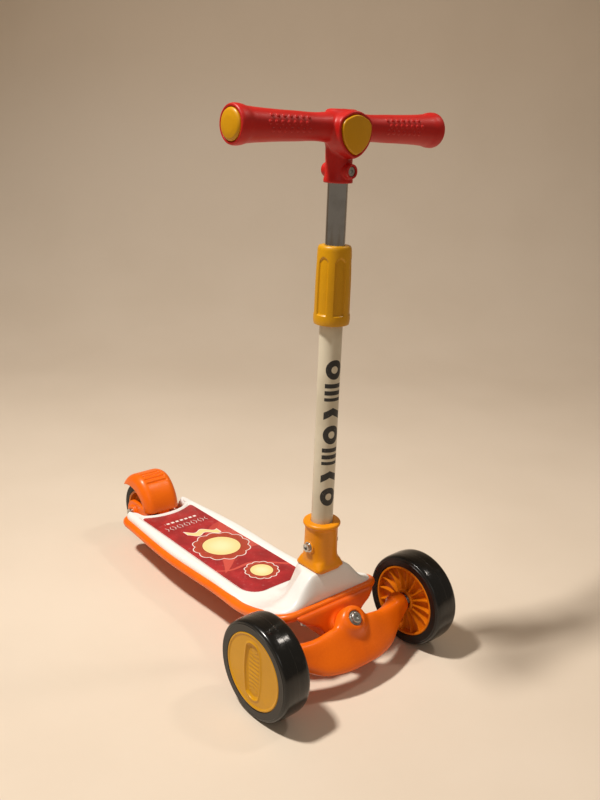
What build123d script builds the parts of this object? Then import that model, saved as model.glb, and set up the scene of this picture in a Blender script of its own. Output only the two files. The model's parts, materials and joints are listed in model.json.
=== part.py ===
from build123d import *
import math
import os

os.makedirs("parts", exist_ok=True)

# A small child's kick scooter with two wheels in front and one behind. Millimetres, +Z up.
# It travels along -Y, the rider's left is +X, and it stands on z = 0. Every piece is drawn
# with y = 0 on the front axle; save() then moves it so that the origin is under the middle.

# ---------------------------------------------------------------- driving dimensions
FRONT_R = 60.0  # front tyre radius, and so the front axle's height
FRONT_W = 37.0  # front tyre width
FRONT_X = 122.5  # middle of a front wheel
REAR_R = 45.0
REAR_W = 26.0
REAR_Y = 460.0
AXLE_R = 4.0  # every axle and pivot is an 8 mm bolt
FIT = 0.05  # radial clearance of a running fit
BEARING_R, BEARING_W = 11.0, 7.0
ARM_END = 101.2  # end face of the truck arm

STEM_Y = 48.5
TUBE_R, TUBE_WALL = 13.1, 1.5
TUBE_Z = (129.0, 488.0)
UPPER_R, UPPER_WALL = 11.1, 1.2
UPPER_Z = (300.0, 626.0)
COLLAR_Z = 187.0
FOOT_Z, FOOT_HALF = 112.0, 19.0

BAR_Z = 638.0
BAR_HALF = 143.5
CAP_RECESS = 1.6  # how deep an end cap sits in its grip
NECK_Z, NECK_R = 582.0, 15.2
CLAMP_Z = 594.6
BADGE_Z = 632.0
SHIELD_HALF, SHIELD_TOP, SHIELD_LOW = 19.5, 19.0, -21.0
POD_FRONT, POD_DEPTH, POD_SCALE = 24.0, 14.0, 1.16

DECK_Z = 62.6  # top of the deck under the mat
MAT_T = 1.2
NOSE_Y, NOSE_HALF, NOSE_R = 17.0, 84.0, 28.0
DECK_HALF = 70.0
TAIL_Y = 438.0
NOTCH_Y, LOBE_IN = 402.5, 34.0
LIP = 7.0  # how far the coloured rim stands out past the cover
RIM_T = 13.0
SKIN = 2.6  # moulded wall
SKIRT = 6.0  # how far the cover drops inside the rim
JOINT_Y = 120.0  # butt joint between the nose cover and the tread cover
SCREW_R = 1.9
SCREW_SPOTS = [(side * 46.0, y) for y in (180.0, 260.0, 340.0, 378.0) for side in (-1, 1)]
FOOT_SCREWS = [(sx * 15.0, STEM_Y + sy * 13.5) for sx in (-1, 1) for sy in (-1, 1)]
FLANGE_T = 4.0
BRACKET_BOLT = (24.0, 46.0)  # x and y of the bracket's bolts
BRACKET_HEAD_Z, BRACKET_NUT_Z = 52.0, 80.5

PIVOT = Vector(0, -12.0, 78.0)
PIVOT_LEAN = 45.0  # the steering axis leans this far from upright
PIVOT_DIR = Vector(0, -math.sin(math.radians(PIVOT_LEAN)), math.cos(math.radians(PIVOT_LEAN)))
BOSS_R = 18.0
BOSS_S = (-14.0, 9.0)  # front boss, along the steering axis from PIVOT
BARREL_S = (-36.0, -14.5)

FENDER_HALF = 29.0
FENDER_PIN = (409.0, 50.0)
FORK_IN, FORK_OUT = 15.0, 22.0

Y_SHIFT = (FRONT_R - REAR_Y - REAR_R) / 2  # puts the origin under the middle of the length


# ---------------------------------------------------------------- small helpers
def save(name, shape):
    """Moves a piece, or a list of pieces, into the part's frame and writes it."""
    solids = shape if isinstance(shape, list) else shape.solids()
    moved = [s.moved(Location((0, Y_SHIFT, 0))) for s in solids]
    export_step(moved[0] if len(moved) == 1 else Compound(children=moved), f"parts/{name}.step")


def rod_x(radius, x0, x1, y, z):
    """A round bar along X."""
    bar = Cylinder(radius, abs(x1 - x0), rotation=(0, 90, 0))
    return Pos((x0 + x1) / 2, y, z) * bar


def rod_z(radius, z0, z1, y=STEM_Y, x=0.0):
    """A round bar along Z."""
    return Pos(x, y, (z0 + z1) / 2) * Cylinder(radius, z1 - z0)


def rod_y(radius, y0, y1, x, z):
    """A round bar along Y."""
    return Pos(x, (y0 + y1) / 2, z) * Cylinder(radius, abs(y1 - y0), rotation=(90, 0, 0))


def hex_x(across, x0, x1, y, z):
    """A hexagonal prism along X."""
    prism = extrude(RegularPolygon(across / 2, 6, major_radius=False), x1 - x0)
    return Pos(x0, y, z) * Rot(0, 90, 0) * prism


def lathe_x(points, y, z):
    """Turns an outline of (x, radius) points about the line along X through (y, z)."""
    face = make_face(Polyline(*points, close=True))
    return Pos(0, y, z) * revolve(face, Axis.X)


def lathe_z(points, y=STEM_Y):
    """Turns an outline of (radius, z) points about the upright line through y."""
    face = Plane.XZ * make_face(Polyline(*points, close=True))
    return Pos(0, y, 0) * revolve(face, Axis.Z)


def slab_yz(points, half, x=0.0):
    """A straight-edged outline of (y, z) points, carried along X to both sides of x."""
    face = Plane.YZ * make_face(Polyline(*points, close=True))
    return Pos(x, 0, 0) * extrude(face, half, both=True)


def along_pivot(shape):
    """Stands a piece drawn about Z on the steering axis, with its z = 0 at PIVOT."""
    return Location(Plane(origin=PIVOT, x_dir=(1, 0, 0), z_dir=PIVOT_DIR)) * shape


def mirrored(shape):
    """The same piece on the other side of the scooter."""
    return mirror(shape, about=Plane.YZ)


def step(t):
    """Smooth step from 0 to 1."""
    t = min(max(t, 0.0), 1.0)
    return t * t * (3 - 2 * t)


# ---------------------------------------------------------------- deck outline and heights
STATIONS = [-5, 17, 60, 88, 120, 150, 190, 260, 340, 420, 520]


def rim_z(y):
    """Height of the rim's top edge: level along the deck, and rising to the nose."""
    rise = [(17.0, 96.0), (60.0, 83.0), (88.0, 74.0), (120.0, 66.0), (150.0, 61.5), (190.0, 59.0)]
    if y >= rise[-1][0]:
        return 59.0 - 3.0 * step((y - 190.0) / 230.0)
    for (y0, z0), (y1, z1) in zip(rise, rise[1:]):
        if y <= y1:
            return z0 + (z1 - z0) * (max(y, 17.0) - y0) / (y1 - y0)
    return rise[-1][1]


def tread_z(y, level_from):
    """Height of the cover's top at y, leaving out the saddle. It is level behind level_from."""
    nose = 1 - step((y - level_from + 80.0) / 80.0)
    return DECK_Z + (rim_z(y) + 4.0 - DECK_Z) * nose


def deck_outline(inset=0.0):
    """The deck seen from above, drawn inwards by inset from the coloured rim's edge."""
    front, corner, half = NOSE_Y + inset, NOSE_R - inset, NOSE_HALF - inset
    tail, hip, lobe, notch = TAIL_Y - inset, 61.0 - inset, LOBE_IN + inset, NOTCH_Y - inset
    lobe_top = ((hip + lobe) / 2, tail)
    right = [
        Line((0, front), (half - corner, front)),
        TangentArc((half - corner, front), (half, front + corner), tangent=(1, 0)),
        Spline((half, front + corner), (79 - inset, 105), (DECK_HALF + 1.0 - inset, 160),
               (DECK_HALF - inset, 300), (hip, 412), tangents=((0, 1), (-0.16, 1))),
        Spline((hip, 412), lobe_top, tangents=((-0.16, 1), (-1, 0))),
        Spline(lobe_top, (lobe, tail - 14), tangents=((-1, 0), (-0.25, -1))),
        Spline((lobe, tail - 14), (0, notch), tangents=((-0.25, -1), (-1, 0))),
    ]
    left = [mirror(edge, about=Plane.YZ) for edge in right]
    return make_face(right + left)


def band(low, high):
    """The space between two heights below the rim line, over the whole deck."""
    upper = [(y, rim_z(y) - high) for y in STATIONS]
    lower = [(y, rim_z(y) - low) for y in reversed(STATIONS)]
    return slab_yz(upper + lower, 130)


# ---------------------------------------------------------------- deck pieces
def cover_block(inset, drop, level_from, depth):
    """The cover's outer form, or its hollow: tread, nose and the saddle under the stem's foot."""
    upper = [(y, tread_z(y, level_from) - drop) for y in STATIONS]
    lower = [(y, rim_z(y) - depth) for y in reversed(STATIONS)]
    block = extrude(deck_outline(LIP + inset), 160) & slab_yz(upper + lower, 130)
    saddle = loft([
        Pos(0, 62, 64) * RectangleRounded(112 - 2 * inset, 74 - 2 * inset, 24),
        Pos(0, 54, 100 - drop) * RectangleRounded(78 - 2 * inset, 56 - 2 * inset, 20),
        Pos(0, STEM_Y, 124 - drop) * RectangleRounded(56 - 2 * inset, 44 - 2 * inset, 14),
    ])
    below = [(y, rim_z(y) - depth) for y in STATIONS] + [(520, 0), (-5, 0)]
    return block + (saddle - slab_yz(below, 130))


def make_covers():
    """Two thin white mouldings, tread and nose, that meet in a butt joint and drop inside the rim."""
    shell = cover_block(0.0, 0.0, 150.0, SKIRT) - cover_block(SKIN, SKIN, 104.0, 40.0)
    socket = Pos(0, STEM_Y, FOOT_Z + 15) * Box(2 * FOOT_HALF + 1, 2 * FOOT_HALF + 1, 30)
    recess = Pos(0, 0, DECK_Z) * extrude(mat_outline(), 20)
    shell = shell - socket - recess
    for x, y in SCREW_SPOTS:
        post = rod_z(4.0, rim_z(y) - RIM_T + 3.6, DECK_Z - SKIN + 0.4, y, x)
        shell = shell + (post - rod_z(SCREW_R, 30, DECK_Z - SKIN, y, x))
    nose_side = Pos(0, JOINT_Y - 100, 100) * Box(300, 200, 300)
    return [max(half.solids(), key=lambda s: s.volume) for half in (shell - nose_side, shell & nose_side)]


def mat_outline():
    """Grip mat seen from above: rounded in front, with a hollow back edge round the fender."""
    right = [
        Line((0, 107), (20, 108)),
        Spline((20, 108), (40, 124), (48, 150), tangents=((1, 0.2), (0.15, 1))),
        Line((48, 150), (44, 396)),
        Spline((44, 396), (39, 403), (30, 401), (0, 388), tangents=((0, 1), (-1, 0))),
    ]
    left = [mirror(edge, about=Plane.YZ) for edge in right]
    return make_face(right + left)


def make_deck_mat():
    """Thin grip mat, let into the cover's tread."""
    return Pos(0, 0, DECK_Z) * extrude(mat_outline(), MAT_T)


def make_deck_shell():
    """Lower tray with its rounded rim, cross ribs and the rear fork arms."""
    whole = extrude(deck_outline(), 160) & band(RIM_T, 0)
    hollow = extrude(deck_outline(LIP), 160) & band(RIM_T - 3, -40)
    tray = whole - hollow
    inside = extrude(deck_outline(LIP), 160) & band(RIM_T - 2, SKIRT + 0.5)
    ribs = [Pos(0, y, 60) * Box(116, 2.4, 60) & inside for y in range(160, 390, 40)]
    spine = [Pos(x, 270, 60) * Box(2.4, 220, 60) & inside for x in (-30, 0, 30)]
    tray = tray + ribs + spine
    for side in (-1, 1):
        tray = tray + fork_arm(side)
    tray = tray - rod_x(AXLE_R, -60, 60, REAR_Y, REAR_R) - rod_x(3.0, -60, 60, *FENDER_PIN)
    room = Pos(0, REAR_Y - 5, 45) * Box(2 * FORK_IN, 100, 100)
    tray = tray - room
    for x, y in SCREW_SPOTS:
        tray = tray - rod_z(SCREW_R, 30, 60, y, x)
    for side in (-1, 1):
        tray = tray - rod_z(2.5, 60, 90, BRACKET_BOLT[1], side * BRACKET_BOLT[0])
    return max(tray.solids(), key=lambda s: s.volume)


def fork_arm(side):
    """One flat arm from the tail of the tray to the rear axle, ending in a round boss."""
    mid, half = side * (FORK_IN + FORK_OUT) / 2, (FORK_OUT - FORK_IN) / 2
    outline = [(402, 44), (402, 55), (432, 59), (452, 63), (468, 61), (REAR_Y + 12, 29), (446, 30)]
    plate = slab_yz(outline, half, mid)
    boss = rod_x(19.0, mid - half, mid + half, REAR_Y, REAR_R)
    knob = rod_x(11.5, side * FORK_OUT, side * (FORK_OUT + 4.5), REAR_Y, REAR_R)
    return plate + boss + knob


def make_nose_bracket():
    """Wedge under the nose that carries the steering barrel."""
    side_view = [(17, 86), (3.5, 70.5), (0.5, 63), (9, 50), (22, 46), (62, 52), (78, 68), (60, 90)]
    wedge = slab_yz(side_view, 60)
    front_view = Plane.XZ * make_face(Polyline((-52, 92), (52, 92), (17, 46), (-17, 46), close=True))
    wedge = wedge & Pos(0, 100, 0) * extrude(front_view, 120, both=True)
    barrel = along_pivot(Pos(0, 0, sum(BARREL_S) / 2) * Cylinder(17.0, BARREL_S[1] - BARREL_S[0]))
    bracket = wedge + barrel - (extrude(deck_outline(), 160) & band(RIM_T, -60))
    bracket = bracket - along_pivot(Pos(0, 0, -30) * Cylinder(AXLE_R, 80))
    pocket = along_pivot(Pos(0, 0, BARREL_S[0] - 9) * Cylinder(12.0, 18))
    bracket = bracket - pocket
    for side in (-1, 1):
        x, y = side * BRACKET_BOLT[0], BRACKET_BOLT[1]
        bracket = bracket - rod_z(2.5, 40, 90, y, x) - rod_z(5.2, 30, BRACKET_HEAD_Z + 4, y, x)
    return max(bracket.solids(), key=lambda s: s.volume)


def screw_up(x, y, z_head, length, head_r=3.6):
    """A pan-head screw driven upwards, with a cross slot in its head."""
    head = rod_z(head_r, z_head - 2.2, z_head, y, x)
    slots = Pos(x, y, z_head - 2.2) * (Box(4.2, 0.9, 1.6) + Box(0.9, 4.2, 1.6))
    return (head - slots + rod_z(SCREW_R, z_head, z_head + length, y, x)).solids()[0]


def make_deck_screws():
    """Screws from below, through the tray into the cover's posts."""
    return [screw_up(x, y, rim_z(y) - RIM_T - 0.4, 12.0) for x, y in SCREW_SPOTS]


def make_foot_screws():
    """Four screws from under the spigot's flange into the collar's foot."""
    return [screw_up(x, y, FOOT_Z - FLANGE_T, 14.0) for x, y in FOOT_SCREWS]


def make_bracket_bolts():
    """Two bolts that hold the nose bracket up against the tray."""
    bolts = []
    for side in (-1, 1):
        x, y = side * BRACKET_BOLT[0], BRACKET_BOLT[1]
        bolt = rod_z(4.6, BRACKET_HEAD_Z, BRACKET_HEAD_Z + 4, y, x) + rod_z(2.5, BRACKET_HEAD_Z, 86, y, x)
        socket = Pos(x, y, BRACKET_HEAD_Z) * extrude(RegularPolygon(2.3, 6), 2.5)
        bolts.append((bolt - socket).solids()[0])
    return bolts


def make_bracket_nuts():
    """Nuts for the bracket bolts, inside the tray."""
    nuts = []
    for side in (-1, 1):
        x, y = side * BRACKET_BOLT[0], BRACKET_BOLT[1]
        nut = Pos(x, y, BRACKET_NUT_Z) * extrude(RegularPolygon(4.5, 6), 4) - rod_z(2.5, 70, 90, y, x)
        nuts.append(nut.solids()[0])
    return nuts


# ---------------------------------------------------------------- stem and collar
def make_stem_collar():
    """Collar moulding: rolled lip, round body and a flared square foot."""
    body = lathe_z([(0, 136), (19.8, 136), (19.2, 143), (19.0, 180), (22.6, 182.6), (22.8, 185),
                    (21.6, COLLAR_Z), (0, COLLAR_Z)])
    foot = loft([
        Pos(0, STEM_Y, FOOT_Z) * RectangleRounded(2 * FOOT_HALF, 2 * FOOT_HALF, 3),
        Pos(0, STEM_Y, 130) * RectangleRounded(2 * FOOT_HALF, 2 * FOOT_HALF, 3),
    ])
    flare = loft([
        Pos(0, STEM_Y, 130) * RectangleRounded(2 * FOOT_HALF + 4, 2 * FOOT_HALF + 4, 5),
        Pos(0, STEM_Y, 143) * RectangleRounded(2 * FOOT_HALF + 0.6, 2 * FOOT_HALF + 0.6, 8),
    ])
    plate = Pos(0, STEM_Y, 128.5) * extrude(RectangleRounded(2 * FOOT_HALF + 4, 2 * FOOT_HALF + 4, 5), 1.5)
    collar = body + foot + plate + flare
    collar = collar - rod_z(TUBE_R, TUBE_Z[0], 200) - rod_z(11.5, 100, 135)
    collar = collar - rod_x(7.0, -30, -19.2, STEM_Y, 156) - rod_x(7.0, 19.2, 30, STEM_Y, 156)
    for x, y in FOOT_SCREWS:
        collar = collar - rod_z(SCREW_R, FOOT_Z - 1, FOOT_Z + 14, y, x)
    return collar - rod_x(3.0, -40, 40, STEM_Y, 156)


def make_lower_tube():
    """Painted tube, cross-drilled for the collar bolt."""
    tube = rod_z(TUBE_R, *TUBE_Z) - rod_z(TUBE_R - TUBE_WALL, TUBE_Z[0] - 1, TUBE_Z[1] + 1)
    return tube - rod_x(3.0, -40, 40, STEM_Y, 156)


def make_stem_spigot():
    """Stub inside the tube's foot, with a flange under the cover."""
    spigot = rod_z(11.5, 84, 228)
    flange = Pos(0, STEM_Y, FOOT_Z - FLANGE_T) * extrude(RectangleRounded(43, 36.5, 5), FLANGE_T)
    spigot = spigot + flange - rod_z(8.5, 80, 229) - rod_x(3.0, -40, 40, STEM_Y, 156)
    for x, y in FOOT_SCREWS:
        spigot = spigot - rod_z(SCREW_R, 90, 120, y, x)
    return spigot


def make_collar_bolt():
    """Socket-head cross bolt with its washer."""
    bolt = rod_x(3.0, -19.2, 22.6, STEM_Y, 156) + rod_x(6.4, -20.4, -19.2, STEM_Y, 156)
    bolt = bolt + rod_x(5.0, -24.4, -20.4, STEM_Y, 156)
    return bolt - hex_x(5.0, -24.4, -21.6, STEM_Y, 156)


def make_collar_nut():
    """Nut on the far end of the cross bolt."""
    return hex_x(10.0, 19.2, 24.0, STEM_Y, 156) - rod_x(3.0, 10, 30, STEM_Y, 156)


def make_split_collet():
    """Slotted clamping ring on top of the lower tube."""
    ring = lathe_z([(TUBE_R, 468), (15.0, 468), (15.6, 488), (14.2, 508), (UPPER_R + FIT, 508),
                    (UPPER_R + FIT, TUBE_Z[1]), (TUBE_R, TUBE_Z[1])])
    for turn in (0, 60, 120):
        cut = Pos(0, STEM_Y, 500) * Rot(0, 0, turn) * Box(40, 1.6, 20)
        ring = ring - cut
    return ring


def make_lock_sleeve():
    """Twist-lock sleeve: plain rings top and bottom, and six flutes between raised ribs."""
    outline = [(TUBE_R + FIT, 429), (19.4, 429), (20.5, 432), (20.3, 442), (19.3, 500), (18.2, 505),
               (18.0, 513), (16.6, 516), (11.4, 516), (11.4, 511), (16.2, 508), (16.2, 450),
               (TUBE_R + FIT, 446)]
    sleeve = lathe_z(outline)
    for k in range(6):
        flute = Pos(0, STEM_Y, 0) * Rot(0, 0, 60 * k + 20) * Pos(30.0, 0, 473) * Cylinder(11.6, 60)
        sleeve = sleeve - flute
    return sleeve


# ---------------------------------------------------------------- handlebar
def make_upper_tube():
    """Chromed tube that slides in the lower one."""
    tube = rod_z(UPPER_R, *UPPER_Z) - rod_z(UPPER_R - UPPER_WALL, UPPER_Z[0] - 1, UPPER_Z[1] + 1)
    return tube - rod_y(2.5, 20, 80, 0, CLAMP_Z)


def make_tube_plug():
    """Guide plug in the upper tube's foot, a sliding fit in the lower tube."""
    bore, low = TUBE_R - TUBE_WALL, UPPER_Z[0]
    return rod_z(bore - 0.08, low - 6, low) + rod_z(UPPER_R - UPPER_WALL, low, low + 14)


def make_handlebar_body():
    """T-shaped moulding: waisted grips, a neck with bolt bosses and a shield-shaped pod."""
    grip = [(0, 15.6), (20, 15.4), (36, 14.2), (47, 14.3), (60, 14.9), (86, 15.3), (100, 16.0), (120, 16.8),
            (128, 17.8), (134, 19.2), (141, 19.2), (BAR_HALF, 17.4)]
    half = [(BAR_HALF, 0)] + list(reversed(grip))
    right = lathe_x(half + [(0, 0)], STEM_Y - 2, BAR_Z)
    neck = lathe_z([(0, NECK_Z), (15.6, NECK_Z), (15.6, 586), (NECK_R, 588), (14.6, 612), (16.6, 622),
                    (17.0, 648), (12.0, 654), (0, 655)])
    bosses = rod_y(7.5, STEM_Y - 19, STEM_Y + 19, 0, CLAMP_Z)
    bar = right + mirrored(right) + neck + bosses + extrude(shield_face(POD_FRONT, POD_SCALE), -POD_DEPTH)
    bar = bar - rod_z(UPPER_R, NECK_Z - 2, UPPER_Z[1]) - rod_y(2.5, 0, 90, 0, CLAMP_Z)
    bar = bar - rod_y(5.0, STEM_Y - 30, STEM_Y - 16, 0, CLAMP_Z)
    seat = extrude(shield_face(POD_FRONT, 1.0), -1.5)
    for side in (-1, 1):
        bar = bar - rod_x(9.0, side * (BAR_HALF - 26), side * (BAR_HALF + 4), STEM_Y - 2, BAR_Z)
        bar = bar - rod_x(15.7, side * (BAR_HALF - CAP_RECESS), side * (BAR_HALF + 4), STEM_Y - 2, BAR_Z)
    return bar - seat


def shield_face(y, factor):
    """Badge outline facing forward at y: a flat-arched top narrowing to a rounded point."""
    half, top, low = SHIELD_HALF, SHIELD_TOP, SHIELD_LOW
    right = [
        Spline((0, top + 1), (half * 0.62, top - 1), (half, top * 0.45), tangents=((1, 0), (-0.05, -1))),
        Spline((half, top * 0.45), (half * 0.66, low * 0.5), (0, low), tangents=((-0.05, -1), (-1, 0))),
    ]
    left = [mirror(edge, about=Plane.YZ) for edge in right]
    outline = Sketch() + scale(make_face(right + left), by=factor)
    return Plane(origin=(0, y, BADGE_Z), x_dir=(1, 0, 0), z_dir=(0, -1, 0)) * outline


def make_front_badge():
    """Plain shield-shaped insert on the front of the pod."""
    plate = extrude(shield_face(POD_FRONT + 1.5, 0.99), 3.4)
    front = plate.faces().sort_by(Axis.Y)[0]
    return fillet(front.edges(), 1.2)


def make_end_cap(side):
    """Domed plug in the end of a grip."""
    seat = BAR_HALF - CAP_RECESS
    dome = [(119, 0), (119, 7.0), (121, 8.9), (seat, 8.9), (seat, 15.6), (seat + 2.2, 15.1), (seat + 4.0, 11),
            (seat + 4.8, 0)]
    cap = lathe_x(dome, STEM_Y - 2, BAR_Z)
    return cap if side > 0 else mirrored(cap)


def make_clamp_bolt():
    """Socket-head bolt through the neck, front to back."""
    front = STEM_Y - 16
    bolt = rod_y(2.5, front, STEM_Y + 20, 0, CLAMP_Z) + rod_y(4.6, front - 4, front, 0, CLAMP_Z)
    socket = Pos(0, front - 4, CLAMP_Z) * Rot(90, 0, 0) * extrude(RegularPolygon(2.3, 6), -2.6)
    return bolt - socket


def make_clamp_nut():
    """Nut on the back of the neck."""
    nut = extrude(RegularPolygon(4.5, 6), 4)
    return Pos(0, STEM_Y + 23, CLAMP_Z) * Rot(90, 0, 0) * nut - rod_y(2.5, 60, 80, 0, CLAMP_Z)


# ---------------------------------------------------------------- wheels
def make_front_tyre():
    """Broad tyre with a gently crowned tread, stepped sidewalls and a rib that keys the rim."""
    a, b = FRONT_X - FRONT_W / 2, FRONT_X + FRONT_W / 2
    low = [(a + 11, 46.2), (a + 11, 43.5), (b - 11, 43.5), (b - 11, 46.2)]
    right = [(b, 46.8), (b, 54.6), (b - 0.8, 55.2), (b - 0.6, 56.6), (b - 1.6, 58.0), (b - 4.5, 59.3),
             (b - 10, 59.9)]
    left = [(a + b - x, r) for x, r in reversed(right)]
    return lathe_x([(a + 0.6, 46.2)] + low + [(b - 0.6, 46.2)] + right + [(FRONT_X, 60.0)] + left, 0, FRONT_R)


def make_front_hub():
    """Amber spoked hub: rim, outer web, sixteen radial ribs and a bearing boss."""
    a, b = FRONT_X - FRONT_W / 2, FRONT_X + FRONT_W / 2
    rim = [(a + 0.6, 42.8), (b - 3.4, 42.8), (b - 3.4, 46.2), (b - 11, 46.2), (b - 11, 43.5), (a + 11, 43.5),
           (a + 11, 46.2), (a + 0.6, 46.2)]
    web = [(a + 9.5, 12), (a + 12, 12), (a + 12, 42.9), (a + 9.5, 42.9)]
    boss = [(a + 1.5, 9.0), (a + 1.5, 14.5), (b - 5.0, 14.5), (b - 5.0, 9.0)]
    hub = lathe_x(rim, 0, FRONT_R) + lathe_x(web, 0, FRONT_R) + lathe_x(boss, 0, FRONT_R)
    for k in range(16):
        rib = Pos((a + 1.8 + a + 10) / 2, 0, 28.5) * Box(8.2, 1.8, 29.5)
        hub = hub + Pos(0, 0, FRONT_R) * Rot(22.5 * k, 0, 0) * rib
    for x0, x1 in ((a + 2.5, a + 2.5 + BEARING_W), (b - 6.0 - BEARING_W, b - 4.9)):
        hub = hub - rod_x(BEARING_R, x0, x1, 0, FRONT_R)
    return hub - rod_x(8.0, a, b, 0, FRONT_R) - rod_x(BEARING_R, a + 1, a + 3, 0, FRONT_R)


def make_bearings(x_starts, y, z):
    """Sealed ball bearings along X, each with its shields set back from the rings."""
    rings = []
    for x in x_starts:
        x1 = x + BEARING_W
        outline = [(x, 4.0), (x, 5.8), (x + 0.5, 5.8), (x + 0.5, 9.4), (x, 9.4), (x, BEARING_R),
                   (x1, BEARING_R), (x1, 9.4), (x1 - 0.5, 9.4), (x1 - 0.5, 5.8), (x1, 5.8), (x1, 4.0)]
        rings.append(lathe_x(outline, y, z))
    return [ring.solids()[0] for ring in rings]


def make_hub_cap():
    """Outer cap: a thin raised ring round a face with a sunken stadium-shaped panel."""
    b = FRONT_X + FRONT_W / 2
    face = [(b - 3.4, 0), (b - 3.4, 46.2), (b - 1.2, 46.2), (b - 0.2, 45.2), (b - 0.2, 43.4), (b - 1.0, 42.8),
            (b - 1.0, 0)]
    cap = lathe_x(face, 0, FRONT_R)
    panel = Plane(origin=(b, 0, FRONT_R), x_dir=(0, 0, 1), z_dir=(1, 0, 0)) * SlotOverall(70, 27)
    return cap - extrude(panel, -1.9)


def make_front_axle():
    """Axle bolt: button head outside the outer bearing, shank into the arm's end."""
    b = FRONT_X + FRONT_W / 2
    shank = rod_x(AXLE_R - FIT, 84, b - 5.8, 0, FRONT_R)
    head = rod_x(6.2, b - 5.8, b - 3.6, 0, FRONT_R)
    return shank + head - hex_x(5.0, b - 5.0, b - 3.6, 0, FRONT_R)


def make_axle_spacer():
    """Washer between the arm's end and the inner bearing."""
    a = FRONT_X - FRONT_W / 2
    return rod_x(6.2, ARM_END, a + 2.4, 0, FRONT_R) - rod_x(AXLE_R - FIT, a - 5, a + 4, 0, FRONT_R)


def make_rear_tyre():
    """Narrow rear tyre."""
    h = REAR_W / 2
    outline = [(-h, 32), (-h, 40), (-h + 1.2, 42.6), (-h + 4, 44.2), (-5, 45), (5, 45), (h - 4, 44.2),
               (h - 1.2, 42.6), (h, 40), (h, 32)]
    return lathe_x(outline, REAR_Y, REAR_R)


def make_rear_hub():
    """Rear hub with a dished web on each side."""
    h = REAR_W / 2
    outline = [(-h + 0.5, 28.5), (-h + 0.5, 32), (h - 0.5, 32), (h - 0.5, 28.5), (2, 27.5), (2, 16),
               (h - 1, 14.5),
               (h - 1, BEARING_R), (h - 1 - BEARING_W, BEARING_R), (h - 1 - BEARING_W, 8.5),
               (-h + 1 + BEARING_W, 8.5), (-h + 1 + BEARING_W, BEARING_R), (-h + 1, BEARING_R), (-h + 1, 14.5),
               (-2, 16), (-2, 27.5)]
    return lathe_x(outline, REAR_Y, REAR_R)


def make_rear_axle():
    """Rear axle bolt, held in the fork arms."""
    end = FORK_OUT + 4.5
    shank = rod_x(AXLE_R - FIT, -end, end + 7, REAR_Y, REAR_R)
    head = rod_x(7.0, -end - 4, -end, REAR_Y, REAR_R)
    return shank + head - hex_x(5.0, -end - 4, -end - 1.6, REAR_Y, REAR_R)


def make_rear_nut():
    """Rear axle nut."""
    end = FORK_OUT + 4.5
    return hex_x(13.0, end, end + 6, REAR_Y, REAR_R) - rod_x(AXLE_R - FIT, 0, 60, REAR_Y, REAR_R)


def make_rear_spacers():
    """Two washers between the fork arms and the rear bearings."""
    h = REAR_W / 2
    left = rod_x(6.0, -FORK_IN, -h + 0.9, REAR_Y, REAR_R) - rod_x(AXLE_R - FIT, -30, 0, REAR_Y, REAR_R)
    return [left.solids()[0], mirrored(left).solids()[0]]


# ---------------------------------------------------------------- steering truck
def make_truck_arm():
    """Crescent arm: thin sloping blade in the middle, thick round ends, and the pivot boss."""
    stations = [(97, 0, 60, 12.5, 12.5, 0), (80, -6, 55.5, 15.5, 12, 20), (55, -17, 51, 21, 10, 30),
                (28, -23, 53, 26, 9, 32), (0, -24.5, 54, 28, 9, 32)]
    stations = stations + [(-x, *rest) for x, *rest in reversed(stations[:-1])]
    sections = []
    for x, y, z, long_r, short_r, lean in stations:
        tilt = math.radians(lean)
        plane = Plane(origin=(x, y, z), x_dir=(0, math.sin(tilt), math.cos(tilt)), z_dir=(1, 0, 0))
        sections.append(plane * Ellipse(long_r, short_r))
    arm = loft(sections)
    for side in (-1, 1):
        arm = arm + rod_x(12.5, side * 90, side * ARM_END, 0, FRONT_R)
    arm = arm + along_pivot(Pos(0, 0, sum(BOSS_S) / 2) * Cylinder(BOSS_R, BOSS_S[1] - BOSS_S[0]))
    arm = arm - along_pivot(Pos(0, 0, -46) * Cylinder(BOSS_R + 3, 64))
    arm = arm - along_pivot(Cylinder(7.0, 80)) - along_pivot(Pos(0, 0, BOSS_S[1]) * Cylinder(10.0, 5))
    arm = arm - rod_x(AXLE_R - FIT, -110, -84, 0, FRONT_R) - rod_x(AXLE_R - FIT, 84, 110, 0, FRONT_R)
    return max(arm.solids(), key=lambda s: s.volume)


def make_pivot_bush():
    """Flanged bush pressed into the truck's boss."""
    low, high = BOSS_S[0], BOSS_S[1] - 2.5
    bush = Pos(0, 0, (low + high) / 2) * Cylinder(7.0, high - low)
    return along_pivot(bush - Pos(0, 0, 0) * Cylinder(AXLE_R + FIT, 80))


def make_pivot_bolt():
    """Steering pivot bolt with a domed socket head and its washer."""
    seat = BOSS_S[1] - 2.5 + 0.1
    washer = Pos(0, 0, seat + 0.75) * Cylinder(8.6, 1.5)
    head = Pos(0, 0, seat + 1.5 + 2.1) * Cylinder(6.6, 4.2)
    shank = Pos(0, 0, (seat + BARREL_S[0] - 8) / 2) * Cylinder(AXLE_R, seat - BARREL_S[0] + 8)
    socket = Pos(0, 0, seat + 3.6) * extrude(RegularPolygon(2.9, 6), 3)
    return along_pivot(fillet_top(head) + washer + shank - socket)


def fillet_top(head):
    """Rounds the top edge of a bolt head."""
    return fillet(head.edges().sort_by(Axis.Z)[-1], 1.6)


def make_pivot_nut():
    """Lock nut in the pocket behind the barrel."""
    nut = Pos(0, 0, BARREL_S[0] - 6.5) * extrude(RegularPolygon(7.5, 6), 6.5)
    return along_pivot(nut - Pos(0, 0, -40) * Cylinder(AXLE_R, 80))


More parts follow.
